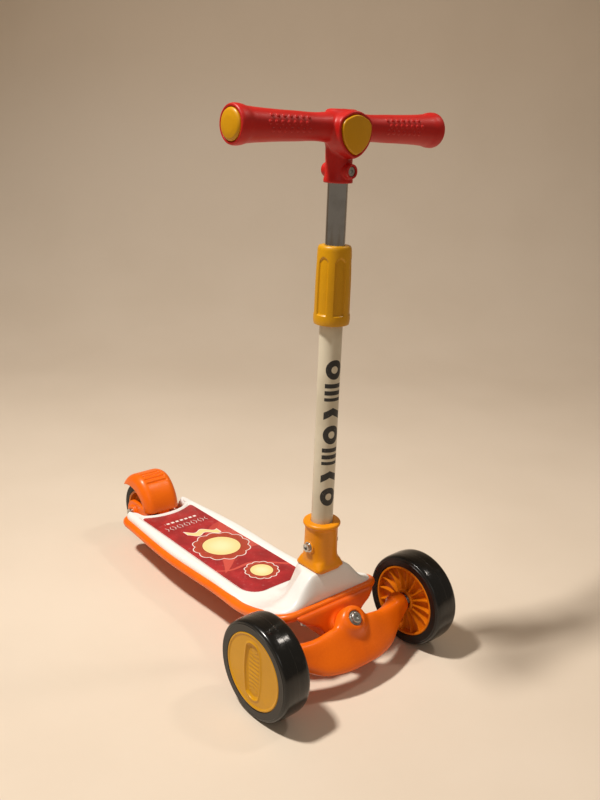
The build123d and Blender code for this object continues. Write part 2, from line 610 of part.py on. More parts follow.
# ---------------------------------------------------------------- rear brake
def fender_side(outer):
    """Side outline of the fender, its outer skin or its hollow."""
    if outer:
        points = [(403, 62), (407.5, 80), (423, 102), (446, 113.5), (468, 106.5), (487, 87)]
        base = [(487, 87), (480, 84), (440, 62), (403, 62)]
    else:
        points = [(406.2, 50), (410.5, 80), (425.5, 100), (446, 110.3), (467, 103.6), (492, 77)]
        base = [(492, 77), (492, 50), (406.2, 50)]
    return Plane.YZ * make_face([Spline(*points)] + list(Polyline(*base).edges()))


def make_brake_fender():
    """Domed fender over the rear wheel, with grip grooves and a lug on its hinge pin."""
    outer = extrude(fender_side(True), FENDER_HALF, both=True)
    outer = fillet(dome_edges(outer), 13.0)
    inner = extrude(fender_side(False), FENDER_HALF - 3, both=True)
    inner = fillet(dome_edges(inner), 10.5)
    fender = outer - inner
    for k in range(4):
        groove = Pos(0, 436 + 7 * k, 113.6 - 0.045 * (2 - k) ** 2 * 7) * Box(34, 1.8, 2.4)
        fender = fender - groove
    lug = slab_yz([(404, 64), (412, 64), (413.4, 45.5), (404.6, 45.5)], 9.0)
    fender = fender + lug
    return max((fender - rod_x(3.0 + FIT, -40, 40, *FENDER_PIN)).solids(), key=lambda s: s.volume)


def dome_edges(block):
    """The long curved edges of the fender's two sides."""
    return [e for e in block.edges() if e.geom_type == GeomType.BSPLINE]


def make_brake_pad():
    """Friction block under the fender's crown."""
    block = Pos(0, 456, 106) * Box(18, 22, 20)
    hollow = extrude(fender_side(False), FENDER_HALF - 3, both=True)
    return block & hollow


def make_fender_springs():
    """Two return-spring coils on the hinge pin, one each side of the fender's lug."""
    turns, wire = 5, 1.0
    outline = [(9.4, 3.2)]
    for k in range(turns):
        x = 9.4 + k * wire
        outline = outline + [(x, 4.3), (x + 0.2 * wire, 4.8), (x + 0.8 * wire, 4.8)]
    outline = outline + [(9.4 + turns * wire, 4.3), (9.4 + turns * wire, 3.2)]
    coil = lathe_x(outline, *FENDER_PIN)
    return [coil.solids()[0], mirrored(coil).solids()[0]]


def make_fender_pin():
    """Hinge pin between the fork arms."""
    return rod_x(3.0, -FORK_OUT, FORK_OUT, *FENDER_PIN)


def main():
    """Builds every piece and writes it under its own name."""
    tread_cover, nose_cover = make_covers()
    save("deck_cover", tread_cover)
    save("nose_cover", nose_cover)
    save("deck_mat", make_deck_mat())
    save("deck_shell", make_deck_shell())
    save("nose_bracket", make_nose_bracket())
    save("stem_collar", make_stem_collar())
    save("lower_tube", make_lower_tube())
    save("stem_spigot", make_stem_spigot())
    save("collar_bolt", make_collar_bolt())
    save("collar_nut", make_collar_nut())
    save("split_collet", make_split_collet())
    save("lock_sleeve", make_lock_sleeve())
    save("upper_tube", make_upper_tube())
    save("tube_plug", make_tube_plug())
    save("handlebar_body", make_handlebar_body())
    save("front_badge", make_front_badge())
    save("end_cap_left", make_end_cap(1))
    save("end_cap_right", make_end_cap(-1))
    save("clamp_bolt", make_clamp_bolt())
    save("clamp_nut", make_clamp_nut())
    save("truck_arm", make_truck_arm())
    save("pivot_bush", make_pivot_bush())
    save("pivot_bolt", make_pivot_bolt())
    save("pivot_nut", make_pivot_nut())
    inner_face = FRONT_X - FRONT_W / 2
    outer_face = FRONT_X + FRONT_W / 2
    bearing_x = (inner_face + 2.5, outer_face - 6.0 - BEARING_W)
    for name, side in (("left", 1), ("right", -1)):
        pieces = {
            "front_tyre": make_front_tyre(),
            "front_hub": make_front_hub(),
            "hub_cap": make_hub_cap(),
            "front_axle": make_front_axle(),
            "axle_spacer": make_axle_spacer(),
        }
        for piece, shape in pieces.items():
            save(f"{piece}_{name}", shape if side > 0 else mirrored(shape))
        rings = make_bearings(bearing_x, 0, FRONT_R)
        save(f"front_bearings_{name}", rings if side > 0 else [mirrored(r) for r in rings])
    save("rear_tyre", make_rear_tyre())
    save("rear_hub", make_rear_hub())
    save("rear_bearings", make_bearings((-REAR_W / 2 + 1, REAR_W / 2 - 1 - BEARING_W), REAR_Y, REAR_R))
    save("rear_axle", make_rear_axle())
    save("rear_nut", make_rear_nut())
    save("rear_spacers", make_rear_spacers())
    save("brake_fender", make_brake_fender())
    save("brake_pad", make_brake_pad())
    save("fender_pin", make_fender_pin())
    save("fender_springs", make_fender_springs())
    save("deck_screws", make_deck_screws())
    save("foot_screws", make_foot_screws())
    save("bracket_bolts", make_bracket_bolts())
    save("bracket_nuts", make_bracket_nuts())


main()
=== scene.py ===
"""A small child's three-wheel kick scooter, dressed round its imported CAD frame.

Shapes are worked out in millimetres from a point on the floor under the front axle, with the
rider's left at +X and the nose towards -Y. Workshop.publish turns them into metres in the frame.
"""

from __future__ import annotations

import itertools
import json
import logging
import math
from collections.abc import Callable, Mapping, Sequence
from dataclasses import dataclass, field
from enum import Enum

import bmesh
import bpy
import numpy as np
from mathutils import Matrix, Vector

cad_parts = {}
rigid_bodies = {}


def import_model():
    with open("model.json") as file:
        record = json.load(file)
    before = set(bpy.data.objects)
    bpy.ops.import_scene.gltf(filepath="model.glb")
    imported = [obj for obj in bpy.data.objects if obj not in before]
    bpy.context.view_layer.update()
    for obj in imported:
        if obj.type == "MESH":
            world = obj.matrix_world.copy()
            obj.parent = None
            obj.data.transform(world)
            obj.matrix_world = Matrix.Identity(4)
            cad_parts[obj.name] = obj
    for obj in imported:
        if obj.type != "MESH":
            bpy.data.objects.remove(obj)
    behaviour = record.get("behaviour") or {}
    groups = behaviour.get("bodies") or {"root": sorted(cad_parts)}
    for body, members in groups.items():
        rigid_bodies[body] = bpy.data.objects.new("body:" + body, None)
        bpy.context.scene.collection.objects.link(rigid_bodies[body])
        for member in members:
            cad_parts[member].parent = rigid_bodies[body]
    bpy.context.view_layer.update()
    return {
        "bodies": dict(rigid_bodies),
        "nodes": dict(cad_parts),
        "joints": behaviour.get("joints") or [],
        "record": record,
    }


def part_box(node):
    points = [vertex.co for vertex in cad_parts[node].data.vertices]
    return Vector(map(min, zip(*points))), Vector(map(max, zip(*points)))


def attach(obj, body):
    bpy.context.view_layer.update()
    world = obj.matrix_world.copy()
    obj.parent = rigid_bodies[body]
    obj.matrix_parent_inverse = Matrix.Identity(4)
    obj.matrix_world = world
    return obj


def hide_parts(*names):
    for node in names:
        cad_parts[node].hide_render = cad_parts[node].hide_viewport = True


LOG = logging.getLogger("scooter")
MM = 0.001
PIVOT = (0.0, -12.0, 78.0)
LEAN = (0.0, -math.sqrt(0.5), math.sqrt(0.5))
Array = np.ndarray
Field = Callable[[Array], Array]
Colour = tuple[float, float, float]


# ------------------------------------------------------------------ curves and steps
def ease(t: Array) -> Array:
    """A smooth step from 0 to 1 as t goes from 0 to 1."""
    t = np.clip(t, 0.0, 1.0)
    return t * t * (3 - 2 * t)


def curve_through(x: Array, knots: Sequence[float], values: Sequence[float]) -> Array:
    """Height of a smooth line through some knots: a cubic between each two, sloped by its neighbours.

    Args:
        x: Where to read the line; beyond the end knots it stays level.
        knots: Rising places of the knots.
        values: Heights at the knots.

    Returns:
        The heights, in the shape of x.
    """
    at, height = np.asarray(knots, float), np.asarray(values, float)
    slope = np.gradient(height, at)
    x = np.clip(x, at[0], at[-1])
    i = np.clip(np.searchsorted(at, x, side="right") - 1, 0, len(at) - 2)
    run = at[i + 1] - at[i]
    t = (x - at[i]) / run
    rise = (3 - 2 * t) * t * t
    start, end = t * (1 - t) ** 2 * run * slope[i], t * t * (t - 1) * run * slope[i + 1]
    return height[i] * (1 - rise) + height[i + 1] * rise + start + end


def rounded(corners: Sequence[Sequence[float]], reach: float, ring: bool = False, steps: int = 4) -> Array:
    """Rounds each corner of a line with a parabola that starts and ends reach away from it.

    Args:
        corners: Corner points.
        reach: How far from a corner its rounding starts, held to 0.45 of either side.
        ring: Whether the line closes on itself; otherwise its two ends stay.
        steps: Spans in each rounding.

    Returns:
        The points of the rounded line.
    """
    p = np.asarray(corners, float)
    back, ahead = np.roll(p, 1, 0) - p, np.roll(p, -1, 0) - p
    back_len, ahead_len = np.linalg.norm(back, axis=1), np.linalg.norm(ahead, axis=1)
    cut = np.minimum(reach, 0.45 * np.minimum(back_len, ahead_len))[:, None]
    a = (p + back / back_len[:, None] * cut)[:, None]
    b = (p + ahead / ahead_len[:, None] * cut)[:, None]
    t = np.linspace(0, 1, steps + 1)[None, :, None]
    arcs = (1 - t) ** 2 * a + 2 * t * (1 - t) * p[:, None] + t**2 * b
    if ring:
        return arcs.reshape(-1, p.shape[1])
    return np.concatenate([p[:1], arcs[1:-1].reshape(-1, p.shape[1]), p[-1:]])


# ------------------------------------------------------------------ surfaces
@dataclass
class Skin:
    """Points and four-sided faces of one or more closed surfaces, in millimetres."""

    points: Array
    quads: Array

    def mirrored(self) -> Skin:
        """The same surface on the other side of the scooter."""
        return Skin(self.points * np.array([-1.0, 1.0, 1.0]), self.quads)


def joined(skins: Sequence[Skin]) -> Skin:
    """Puts several surfaces into one.

    Args:
        skins: The surfaces.

    Returns:
        One surface.
    """
    starts = np.cumsum([0] + [len(s.points) for s in skins[:-1]])
    quads = [s.quads + start for s, start in zip(skins, starts)]
    return Skin(np.concatenate([s.points for s in skins]), np.concatenate(quads))


def sheet(points: Array, wrap_rows: bool = False, wrap_columns: bool = False) -> Skin:
    """Faces between the neighbouring points of a grid.

    Args:
        points: Grid of points, rows by columns by 3.
        wrap_rows: Whether the last row joins the first.
        wrap_columns: Whether the last column joins the first.

    Returns:
        The surface.
    """
    rows, columns = points.shape[:2]
    r = np.arange(rows if wrap_rows else rows - 1)[:, None]
    c = np.arange(columns if wrap_columns else columns - 1)[None, :]
    r2, c2 = (r + 1) % rows, (c + 1) % columns
    quads = np.stack([r * columns + c, r * columns + c2, r2 * columns + c2, r2 * columns + c], -1)
    return Skin(points.reshape(-1, 3), quads.reshape(-1, 4))


def turned(profile: Array, axis: str, centre: Sequence[float], ring: bool = False, turns: int = 128) -> Skin:
    """Turns a profile of (place along the axis, radius) about a line along X, Y or Z.

    Args:
        profile: Profile points; one that is not a ring starts and ends at radius 0.
        axis: The letter x, y or z.
        centre: A point on the line, where the profile's place is 0.
        ring: Whether the profile closes on itself.
        turns: Points round the circle.

    Returns:
        The closed surface.
    """
    angle = np.linspace(0, math.tau, turns, endpoint=False)
    along = np.repeat(np.asarray(profile)[:, :1], turns, axis=1)
    across, up = (np.asarray(profile)[:, 1:2] * w for w in (np.cos(angle), np.sin(angle)))
    order = {"x": (along, across, up), "y": (across, along, up), "z": (across, up, along)}[axis]
    return sheet(np.stack(order, -1) + np.asarray(centre, float), ring, True)


# ------------------------------------------------------------------ solid forms as distance fields
def meld(a: Array, b: Array, fillet: float) -> Array:
    """Joins two forms; where they meet, the fields are blended into a fillet of about that size."""
    share = np.clip(0.5 + 0.5 * (b - a) / fillet, 0, 1)
    return b + (a - b) * share - fillet * share * (1 - share)


def carve(a: Array, b: Array, edge: float) -> Array:
    """Takes form b away from form a and softens the edge."""
    return -meld(-a, b, edge)


def shared(a: Array, b: Array, edge: float) -> Array:
    """What two forms share, with a softened edge."""
    return -meld(-a, -b, edge)


def corner(a: Array, b: Array, radius: float) -> Array:
    """The outside corner of two faces, rounded to a radius: the distance to a quarter circle."""
    a, b = a + radius, b + radius
    return np.minimum(np.maximum(a, b), 0) + np.hypot(np.maximum(a, 0), np.maximum(b, 0)) - radius


def rod(p: Array, start: Sequence[float], end: Sequence[float], radius: float, edge: float = 1.0) -> Array:
    """Distance to a round bar from start to end, with its rims rounded to edge.

    Args:
        p: Points, with their x, y and z last.
        start: Middle of the bar's first end.
        end: Middle of its other end.
        radius: Its radius.
        edge: Radius of its rims.

    Returns:
        The distance, negative inside.
    """
    start, end = np.asarray(start, float), np.asarray(end, float)
    axis = (end - start) / np.linalg.norm(end - start)
    q = p - (start + end) / 2
    along = q @ axis
    across = np.sqrt(np.maximum((q**2).sum(-1) - along**2, 1e-9))
    return corner(np.abs(along) - np.linalg.norm(end - start) / 2, across - radius, edge)


def settle(points: Array, form: Field, cell: float, times: int) -> Array:
    """Moves points along the field's slope on to its zero surface, by Newton's rule.

    Args:
        points: The points.
        form: The field.
        cell: Size of a lattice cell, which limits a step.
        times: How many steps to take.

    Returns:
        The moved points.
    """
    tiny = 0.02
    for _ in range(times):
        value = form(points)
        sides = [form(points + s) - form(points - s) for s in np.eye(3) * tiny]
        slope = np.stack(sides, -1) / (2 * tiny)
        move = value[:, None] * slope / np.maximum((slope**2).sum(-1, keepdims=True), 1e-3)
        points = points - np.clip(move, -cell / 2, cell / 2)
    return points


def grown(form: Field, low: Sequence[float], high: Sequence[float], cell: float) -> Skin:
    """Surface of a form, read on a lattice: one point in each cell that the surface crosses.

    Args:
        form: Field that is negative inside the form.
        low: Lowest corner of the lattice, clear of the form.
        high: Highest corner.
        cell: Size of a lattice cell.

    Returns:
        The surface, evened out and settled on the field's zero.
    """
    axes = [np.arange(a, b + cell, cell) for a, b in zip(low, high)]
    lattice = np.stack(np.meshgrid(*axes, indexing="ij"), -1)
    inside = form(lattice) < 0
    shape = np.array(inside.shape) - 1
    corners = [inside[i:i + shape[0], j:j + shape[1], k:k + shape[2]].astype(np.int8)
               for i, j, k in itertools.product((0, 1), repeat=3)]
    count = sum(corners)
    crossed = (count > 0) & (count < 8)
    ids = np.full(crossed.shape, -1)
    ids[crossed] = np.arange(crossed.sum())
    points = settle(lattice[:-1, :-1, :-1][crossed] + cell / 2, form, cell, 4)
    quads = []
    for axis in range(3):
        cells, full = np.moveaxis(ids, axis, 0), np.moveaxis(inside, axis, 0)
        i, j, k = np.nonzero((full[:-1] != full[1:])[:, 1:-1, 1:-1])
        ring = [cells[i, j, k], cells[i, j + 1, k], cells[i, j + 1, k + 1], cells[i, j, k + 1]]
        quads.append(np.stack(ring, -1))
    faces = np.concatenate(quads)
    near, far = faces.ravel(), np.roll(faces, 1, 1).ravel()
    for _ in range(3):
        ends = np.bincount(near, minlength=len(points))[:, None]
        pulls = [np.bincount(near, points[far, c], len(points)) for c in range(3)]
        middle = np.stack(pulls, -1) / np.maximum(ends, 1)
        points = settle((points + middle) / 2, form, cell, 2)
    return Skin(points, faces)


# ------------------------------------------------------------------ shader maths
class Wire:
    """One value in a material, a node's socket, that Python's operators join with Math nodes."""

    def __init__(self, bench: Bench, socket: bpy.types.NodeSocket) -> None:
        """Keeps the bench that the nodes stand on, and the socket."""
        self.bench, self.socket = bench, socket

    def __add__(self, other: Wire | float) -> Wire:
        """Sum."""
        return self.bench.maths("ADD", self, other)

    def __sub__(self, other: Wire | float) -> Wire:
        """Difference."""
        return self.bench.maths("SUBTRACT", self, other)

    def __rsub__(self, other: float) -> Wire:
        """Difference from a number."""
        return self.bench.maths("SUBTRACT", other, self)

    def __mul__(self, other: Wire | float) -> Wire:
        """Product."""
        return self.bench.maths("MULTIPLY", self, other)

    def __truediv__(self, other: Wire | float) -> Wire:
        """Quotient."""
        return self.bench.maths("DIVIDE", self, other)

    __radd__ = __add__
    __rmul__ = __mul__

    def size(self) -> Wire:
        """The value without its sign."""
        return self.bench.maths("ABSOLUTE", self)

    def most(self, other: Wire | float) -> Wire:
        """The larger of two values."""
        return self.bench.maths("MAXIMUM", self, other)

    def inside(self, blur: float = 0.25) -> Wire:
        """1 where a distance in millimetres is below 0 and 0 above it, softened over blur."""
        return self.bench.maths("MULTIPLY_ADD", self, -0.5 / blur, 0.5, clamp=True)


class Bench:
    """A material being wired: its nodes, its shader and the surface's own place in millimetres."""

    def __init__(self, name: str) -> None:
        """Makes an empty node material with one Principled shader.

        Args:
            name: The material's name.
        """
        self.material = bpy.data.materials.new(name)
        self.material.use_nodes = True
        self.tree = self.material.node_tree
        self.tree.nodes.clear()
        self.shader = self.add("ShaderNodeBsdfPrincipled", {}, {})
        output = self.add("ShaderNodeOutputMaterial", {}, {})
        self.tree.links.new(self.shader.outputs[0], output.inputs[0])
        self.place = Wire(self, self.add("ShaderNodeTexCoord", {}, {}).outputs["Object"])

    def add(
        self, kind: str, settings: Mapping[str, object], values: Mapping[int | str, object],
    ) -> bpy.types.Node:
        """Adds any node.

        Args:
            kind: The node's type name.
            settings: Properties to set first; stops gives a ramp's (place, colour) pairs.
            values: Sockets by name or number, each with a Wire to link or a value to hold.

        Returns:
            The node.
        """
        node = self.tree.nodes.new(kind)
        for name, value in settings.items():
            if name == "stops":
                ramp = node.color_ramp
                ramp.elements[0].position, ramp.elements[1].position = value[0][0], value[-1][0]
                ramp.elements[0].color, ramp.elements[1].color = (*value[0][1], 1), (*value[-1][1], 1)
                for place, colour in value[1:-1]:
                    ramp.elements.new(place).color = (*colour, 1)
            else:
                setattr(node, name, value)
        for name, value in values.items():
            self.feed(node.inputs[name], value)
        return node

    def feed(self, socket: bpy.types.NodeSocket, value: object) -> None:
        """Links a Wire to a socket, or sets the socket's own value.

        Args:
            socket: The socket.
            value: A Wire to link, or a value to hold.
        """
        if isinstance(value, Wire):
            self.tree.links.new(value.socket, socket)
        elif isinstance(value, tuple) and len(value) == 3 and socket.type == "RGBA":
            socket.default_value = (*value, 1)
        else:
            socket.default_value = value

    def maths(self, how: str, *terms: Wire | float, clamp: bool = False) -> Wire:
        """One Math node on values."""
        settings = {"operation": how, "use_clamp": clamp}
        return Wire(self, self.add("ShaderNodeMath", settings, dict(enumerate(terms))).outputs[0])

    def blend(self, share: Wire | float, a: Wire | Colour, b: Wire | Colour) -> Wire:
        """A colour that goes from a to b as share goes from 0 to 1."""
        node = self.add("ShaderNodeMix", {"data_type": "RGBA"}, {0: share, 6: a, 7: b})
        return Wire(self, node.outputs[2])

    def axes(self) -> tuple[Wire, Wire, Wire]:
        """The surface's own place in millimetres from the frame's origin, one value for each axis."""
        node = self.add("ShaderNodeSeparateXYZ", {}, {0: self.place})
        return tuple(Wire(self, end) * (1 / MM) for end in node.outputs)

    def noise(self, size: float, detail: float = 2.0, stretch: Colour = (1, 1, 1)) -> Wire:
        """Soft noise from 0 to 1 whose lumps are about size millimetres, stretched along axes.

        Args:
            size: Size of a lump, in millimetres.
            detail: How many finer layers it has.
            stretch: How far it is stretched along each axis.

        Returns:
            The noise.
        """
        scale = tuple(1 / (size * MM * s) for s in stretch)
        node = self.add("ShaderNodeMapping", {}, {"Vector": self.place, "Scale": scale})
        values = {"Vector": Wire(self, node.outputs[0]), "Scale": 1.0, "Detail": detail}
        return Wire(self, self.add("ShaderNodeTexNoise", {}, values).outputs[0])

    def between(self, value: Wire, low: float, high: float) -> Wire:
        """0 below low, 1 above high and smooth in between.

        Args:
            value: The value to read.
            low: Value that gives 0.
            high: Value that gives 1.

        Returns:
            The stepped value.
        """
        values = {"Value": value, "From Min": low, "From Max": high}
        node = self.add("ShaderNodeMapRange", {"interpolation_type": "SMOOTHSTEP"}, values)
        return Wire(self, node.outputs[0])

    def emboss(self, height: Wire, depth: float, strength: float = 1.0) -> Wire:
        """A normal that reads height as relief of depth millimetres."""
        values = {"Height": height, "Distance": depth * MM, "Strength": strength}
        return Wire(self, self.add("ShaderNodeBump", {}, values).outputs[0])

    def finish(self, values: Mapping[str, object]) -> bpy.types.Material:
        """Feeds the shader's sockets and returns the material.

        Args:
            values: Sockets of the shader, each with a Wire or a value.

        Returns:
            The material.
        """
        for name, value in values.items():
            self.feed(self.shader.inputs[name], value)
        return self.material


# ------------------------------------------------------------------ finishes
@dataclass(frozen=True)
class Moulded:
    """Injection-moulded plastic: mottled colour, fine grain, flow waviness, rubs and light scratches."""

    name: str
    colour: Colour
    deep: Colour
    roughness: float = 0.34
    grain: float = 0.02
    grain_size: float = 0.7
    coat: float = 0.06

    def make(self) -> bpy.types.Material:
        """Wires the plastic.

        Returns:
            The material.
        """
        b = Bench(self.name)
        cloud, speck = b.noise(60, 2), b.noise(2.4, 3)
        scratch = b.between(b.noise(3, 3, (9, 1, 0.5)), 0.66, 0.74)
        rubs = b.between(b.noise(22, 5), 0.56, 0.72)
        share = b.between(cloud * 0.7 + speck * 0.3, 0.28, 0.72)
        colour = b.blend(share, self.deep, self.colour)
        pale = tuple(min(1.0, c * 1.12 + 0.015) for c in self.colour)
        colour = b.blend(rubs * 0.2 + scratch * 0.25, colour, pale)
        relief = b.noise(self.grain_size, 2) * self.grain + b.noise(14, 1) * 0.02 - scratch * 0.012
        return b.finish({
            "Base Color": colour,
            "Roughness": self.roughness + speck * 0.07 + rubs * 0.09 + scratch * 0.1,
            "Coat Weight": self.coat + rubs * -0.1,
            "Coat Roughness": 0.2,
            "Specular IOR Level": 0.36,
            "Normal": b.emboss(relief, 1.0),
        })


@dataclass(frozen=True)
class Rubber:
    """Glossy black tyre: fine turned rings, a mould line round the tread, scuffs and a little dust."""

    name: str
    axle_y: float
    axle_z: float
    radius: float
    middle_x: float
    gloss: float = 0.14
    black: Colour = (0.004, 0.004, 0.0038)
    dusty: Colour = (0.03, 0.028, 0.025)

    def make(self) -> bpy.types.Material:
        """Wires the tyre.

        Returns:
            The material.
        """
        b = Bench(self.name)
        x, y, z = b.axes()
        across, up = y - self.axle_y, z - self.axle_z
        radius = b.maths("SQRT", across * across + up * up)
        tread = b.between(radius, self.radius - 3.5, self.radius - 1.0)
        scuff = b.between(b.noise(9, 5), 0.55, 0.72)
        streak = b.between(b.noise(3, 3, (0.6, 8, 8)), 0.6, 0.75)
        dust = (scuff * 0.5 + streak * 0.3) * tread
        rings = b.maths("SINE", radius * (math.tau / 0.9)) * (1 - tread) * 0.02
        seam = ((x.size() - self.middle_x).size() - 0.25).inside(0.1) * tread * 0.15
        relief = rings + seam + b.noise(0.6, 2) * 0.012 + b.noise(11, 1) * 0.05
        wall = (1 - tread) * 0.2
        return b.finish({
            "Base Color": b.blend(dust * 0.3 + b.noise(30, 2) * 0.1, self.black, self.dusty),
            "Roughness": self.gloss + wall + dust * 0.16 + b.noise(2, 2) * 0.04,
            "Normal": b.emboss(relief, 1.0),
            "Specular IOR Level": 0.5,
        })


@dataclass(frozen=True)
class Metal:
    """Bare or plated metal: brushed or polished, with smears that dull it in places."""

    name: str
    colour: Colour
    roughness: float
    brush: Colour = (1, 1, 12)

    def make(self) -> bpy.types.Material:
        """Wires the metal.

        Returns:
            The material.
        """
        b = Bench(self.name)
        brushed, smear = b.noise(0.5, 2, self.brush), b.between(b.noise(16, 4), 0.45, 0.75)
        dull = tuple(c * 0.72 for c in self.colour)
        return b.finish({
            "Base Color": b.blend(smear * 0.5 + brushed * 0.2, self.colour, dull),
            "Metallic": 1.0,
            "Roughness": self.roughness + smear * 0.1 + brushed * 0.05,
            "Normal": b.emboss(brushed * 0.004 + b.noise(9, 1) * 0.01, 1.0),
        })


@dataclass(frozen=True)
class TubePaint:
    """Ivory powder coat with a plain black graphic up the front: rings, chevrons and barred blocks."""

    name: str
    stem_y: float
    tube_r: float
    low: float = 209.0
    high: float = 391.0
    half: float = 10.8
    marks: int = 7

    def make(self) -> bpy.types.Material:
        """Wires the paint; the graphic is drawn in distance round the tube and height.

        Returns:
            The material.
        """
        b = Bench(self.name)
        x, y, z = b.axes()
        side = b.maths("ARCTAN2", x, self.stem_y - y) * self.tube_r + 3.0
        pitch = (self.high - self.low) / self.marks
        turn = (z - self.low) * (1 / pitch)
        number = b.maths("FLOOR", turn)
        up = (turn - number - 0.5) * pitch
        tall = pitch / 2 - 1.7
        wide = side.size()
        block = (wide - self.half).most(up.size() - tall)
        ring = (b.maths("SQRT", side * side + up * up * 0.85) - 7.3).size() - 3.3
        slanted = up + wide * 0.55 - 2.6
        chevron = (slanted.size() - 4.4).most(wide - self.half)
        bars = b.maths("PINGPONG", up + 1.5, 4.2) - 2.6
        barred = bars.most(block)
        odd = b.maths("MODULO", number, 3.0)
        shape = b.maths("LESS_THAN", odd, 0.5)
        second = b.maths("COMPARE", odd, 1.0, 0.4)
        third = 1 - shape - second
        drawn = ring * shape + chevron * second + barred * third
        band = drawn.most((z - (self.low + self.high) / 2).size() - (self.high - self.low) / 2)
        ink = band.inside(0.12)
        worn = b.between(b.noise(1.6, 4), 0.66, 0.74)
        ivory = b.blend(b.between(b.noise(45, 3), 0.35, 0.65), (0.56, 0.5, 0.38), (0.66, 0.6, 0.47))
        return b.finish({
            "Base Color": b.blend(ink * (1 - worn * 0.5), ivory, (0.012, 0.012, 0.013)),
            "Roughness": 0.3 + ink * 0.12 + b.noise(3, 3) * 0.08,
            "Coat Weight": 0.25 - ink * 0.15,
            "Coat Roughness": 0.12,
            "Normal": b.emboss(b.noise(1.3, 2) * 0.03 + ink * 0.03, 1.0),
        })


@dataclass(frozen=True)
class MatPrint:
    """Printed grip mat: red ground, coral swooshes, two plain sun rosettes, a ribbon and dashes."""

    name: str
    axle_y: float
    red: Colour = (0.42, 0.018, 0.022)
    coral: Colour = (0.62, 0.085, 0.06)
    dark: Colour = (0.3, 0.012, 0.016)
    cream: Colour = (0.9, 0.68, 0.3)
    white: Colour = (0.85, 0.82, 0.78)

    def rosette(self, b: Bench, under: Wire, across: Wire, back: Wire, spot: Sequence[float]) -> Wire:
        """Draws a sun: a cream disc in a brown collar, with a white line along its scalloped edge.

        Args:
            b: The bench.
            under: The colour beneath.
            across: Place along X in millimetres.
            back: Place along Y in millimetres, from the front axle.
            spot: Centre x and y, disc radius, collar radius, number of scallops.

        Returns:
            The colour with the sun on it.
        """
        x, y, disc, collar, scallops = spot
        dx, dy = across - x, back - y
        far = b.maths("SQRT", dx * dx + dy * dy)
        wave = b.maths("SINE", b.maths("ARCTAN2", dy, dx) * scallops).size() * (collar * 0.11)
        rim = far - wave - collar
        out = b.blend(rim.inside(), under, (0.4, 0.045, 0.02))
        out = b.blend(((rim + 3.4).size() - 0.35).inside() * 0.5, out, self.coral)
        out = b.blend((rim.size() - 0.65).inside(), out, self.white)
        out = b.blend((far - disc - 0.8).inside(), out, (0.2, 0.03, 0.012))
        cream = b.blend(b.between(far, disc * 0.1, disc), (0.95, 0.8, 0.45), self.cream)
        return b.blend((far - disc).inside(), out, cream)

    def make(self) -> bpy.types.Material:
        """Wires the mat's print and its fine non-slip grain.

        Returns:
            The material.
        """
        b = Bench(self.name)
        x, frame_y, _ = b.axes()
        y = frame_y - self.axle_y
        colour = b.blend(b.between(b.noise(24, 4), 0.35, 0.68), self.dark, self.red)
        swoosh = b.maths("SINE", x * 0.045 + 0.6) * 14 + 232 + x * 0.75
        tail = (y - swoosh).size() - 22 - x * 0.55
        colour = b.blend((tail - 5).inside(0.4) * 0.85, colour, (0.36, 0.02, 0.02))
        colour = b.blend(tail.inside(0.4) * 0.9, colour, self.coral)
        upper = (b.maths("SINE", x * 0.06) * 6 + 290 + x * 0.25 - y).size() - 7 - x * 0.25
        colour = b.blend(upper.inside(0.4) * 0.8, colour, (0.55, 0.06, 0.045))
        lower = (b.maths("SINE", x * 0.07 + 0.9) * 8 + 186 - x * 0.45 - y).size() - 2.4 - x * 0.02
        colour = b.blend(lower.inside(0.4) * 0.9, colour, self.coral)
        bow = (b.maths("SINE", x * 0.22) * 4.5 + 308 - x * 0.3 - y).size() - 5.2
        ribbon = bow.most((x - 4).size() - 22)
        colour = b.blend((ribbon - 1.2).inside(), colour, self.white)
        colour = b.blend(ribbon.inside(), colour, self.cream)
        colour = self.rosette(b, colour, x, y, (1.5, 256.0, 27.0, 37.5, 6.0))
        colour = self.rosette(b, colour, x, y, (4.3, 167.0, 15.5, 21.5, 6.0))
        dash = (b.maths("PINGPONG", x + 30, 3.9) - 2.4).most((y - 359).size() - 2.1).most(x.size() - 28)
        colour = b.blend(dash.inside(), colour, self.white)
        lozenge = (b.maths("PINGPONG", x + 36, 6.1) + (y - 343).size() * 0.5 - 4.4).size() - 0.5
        outline = lozenge.most((y - 343).size() - 5.4).most(x.size() - 35)
        colour = b.blend(outline.inside() * 0.85, colour, self.white)
        wear = b.between(b.noise(6, 5), 0.6, 0.8)
        colour = b.blend(wear * 0.12, colour, self.white)
        dots = b.noise(0.9, 2)
        return b.finish({
            "Base Color": colour,
            "Roughness": 0.42 + dots * 0.12 + wear * 0.12,
            "Coat Weight": 0.12 - wear * 0.05,
            "Coat Roughness": 0.3,
            "Normal": b.emboss(dots * 0.05 + b.noise(20, 1) * 0.08, 1.0),
        })


@dataclass(frozen=True)
class Plaster:
    """Matt studio floor and wall, with faint blotches."""

    name: str
    colour: Colour
    shade: Colour

    def make(self) -> bpy.types.Material:
        """Wires the backdrop.

        Returns:
            The material.
        """
        b = Bench(self.name)
        blotch = b.between(b.noise(260, 4), 0.3, 0.7) * 0.7 + b.noise(14, 3) * 0.3
        return b.finish({
            "Base Color": b.blend(blotch, self.shade, self.colour),
            "Roughness": 0.5 + blotch * 0.15,
            "Normal": b.emboss(b.noise(2.2, 3) * 0.04, 1.0),
        })


Finish = Moulded | Rubber | Metal | TubePaint | MatPrint | Plaster


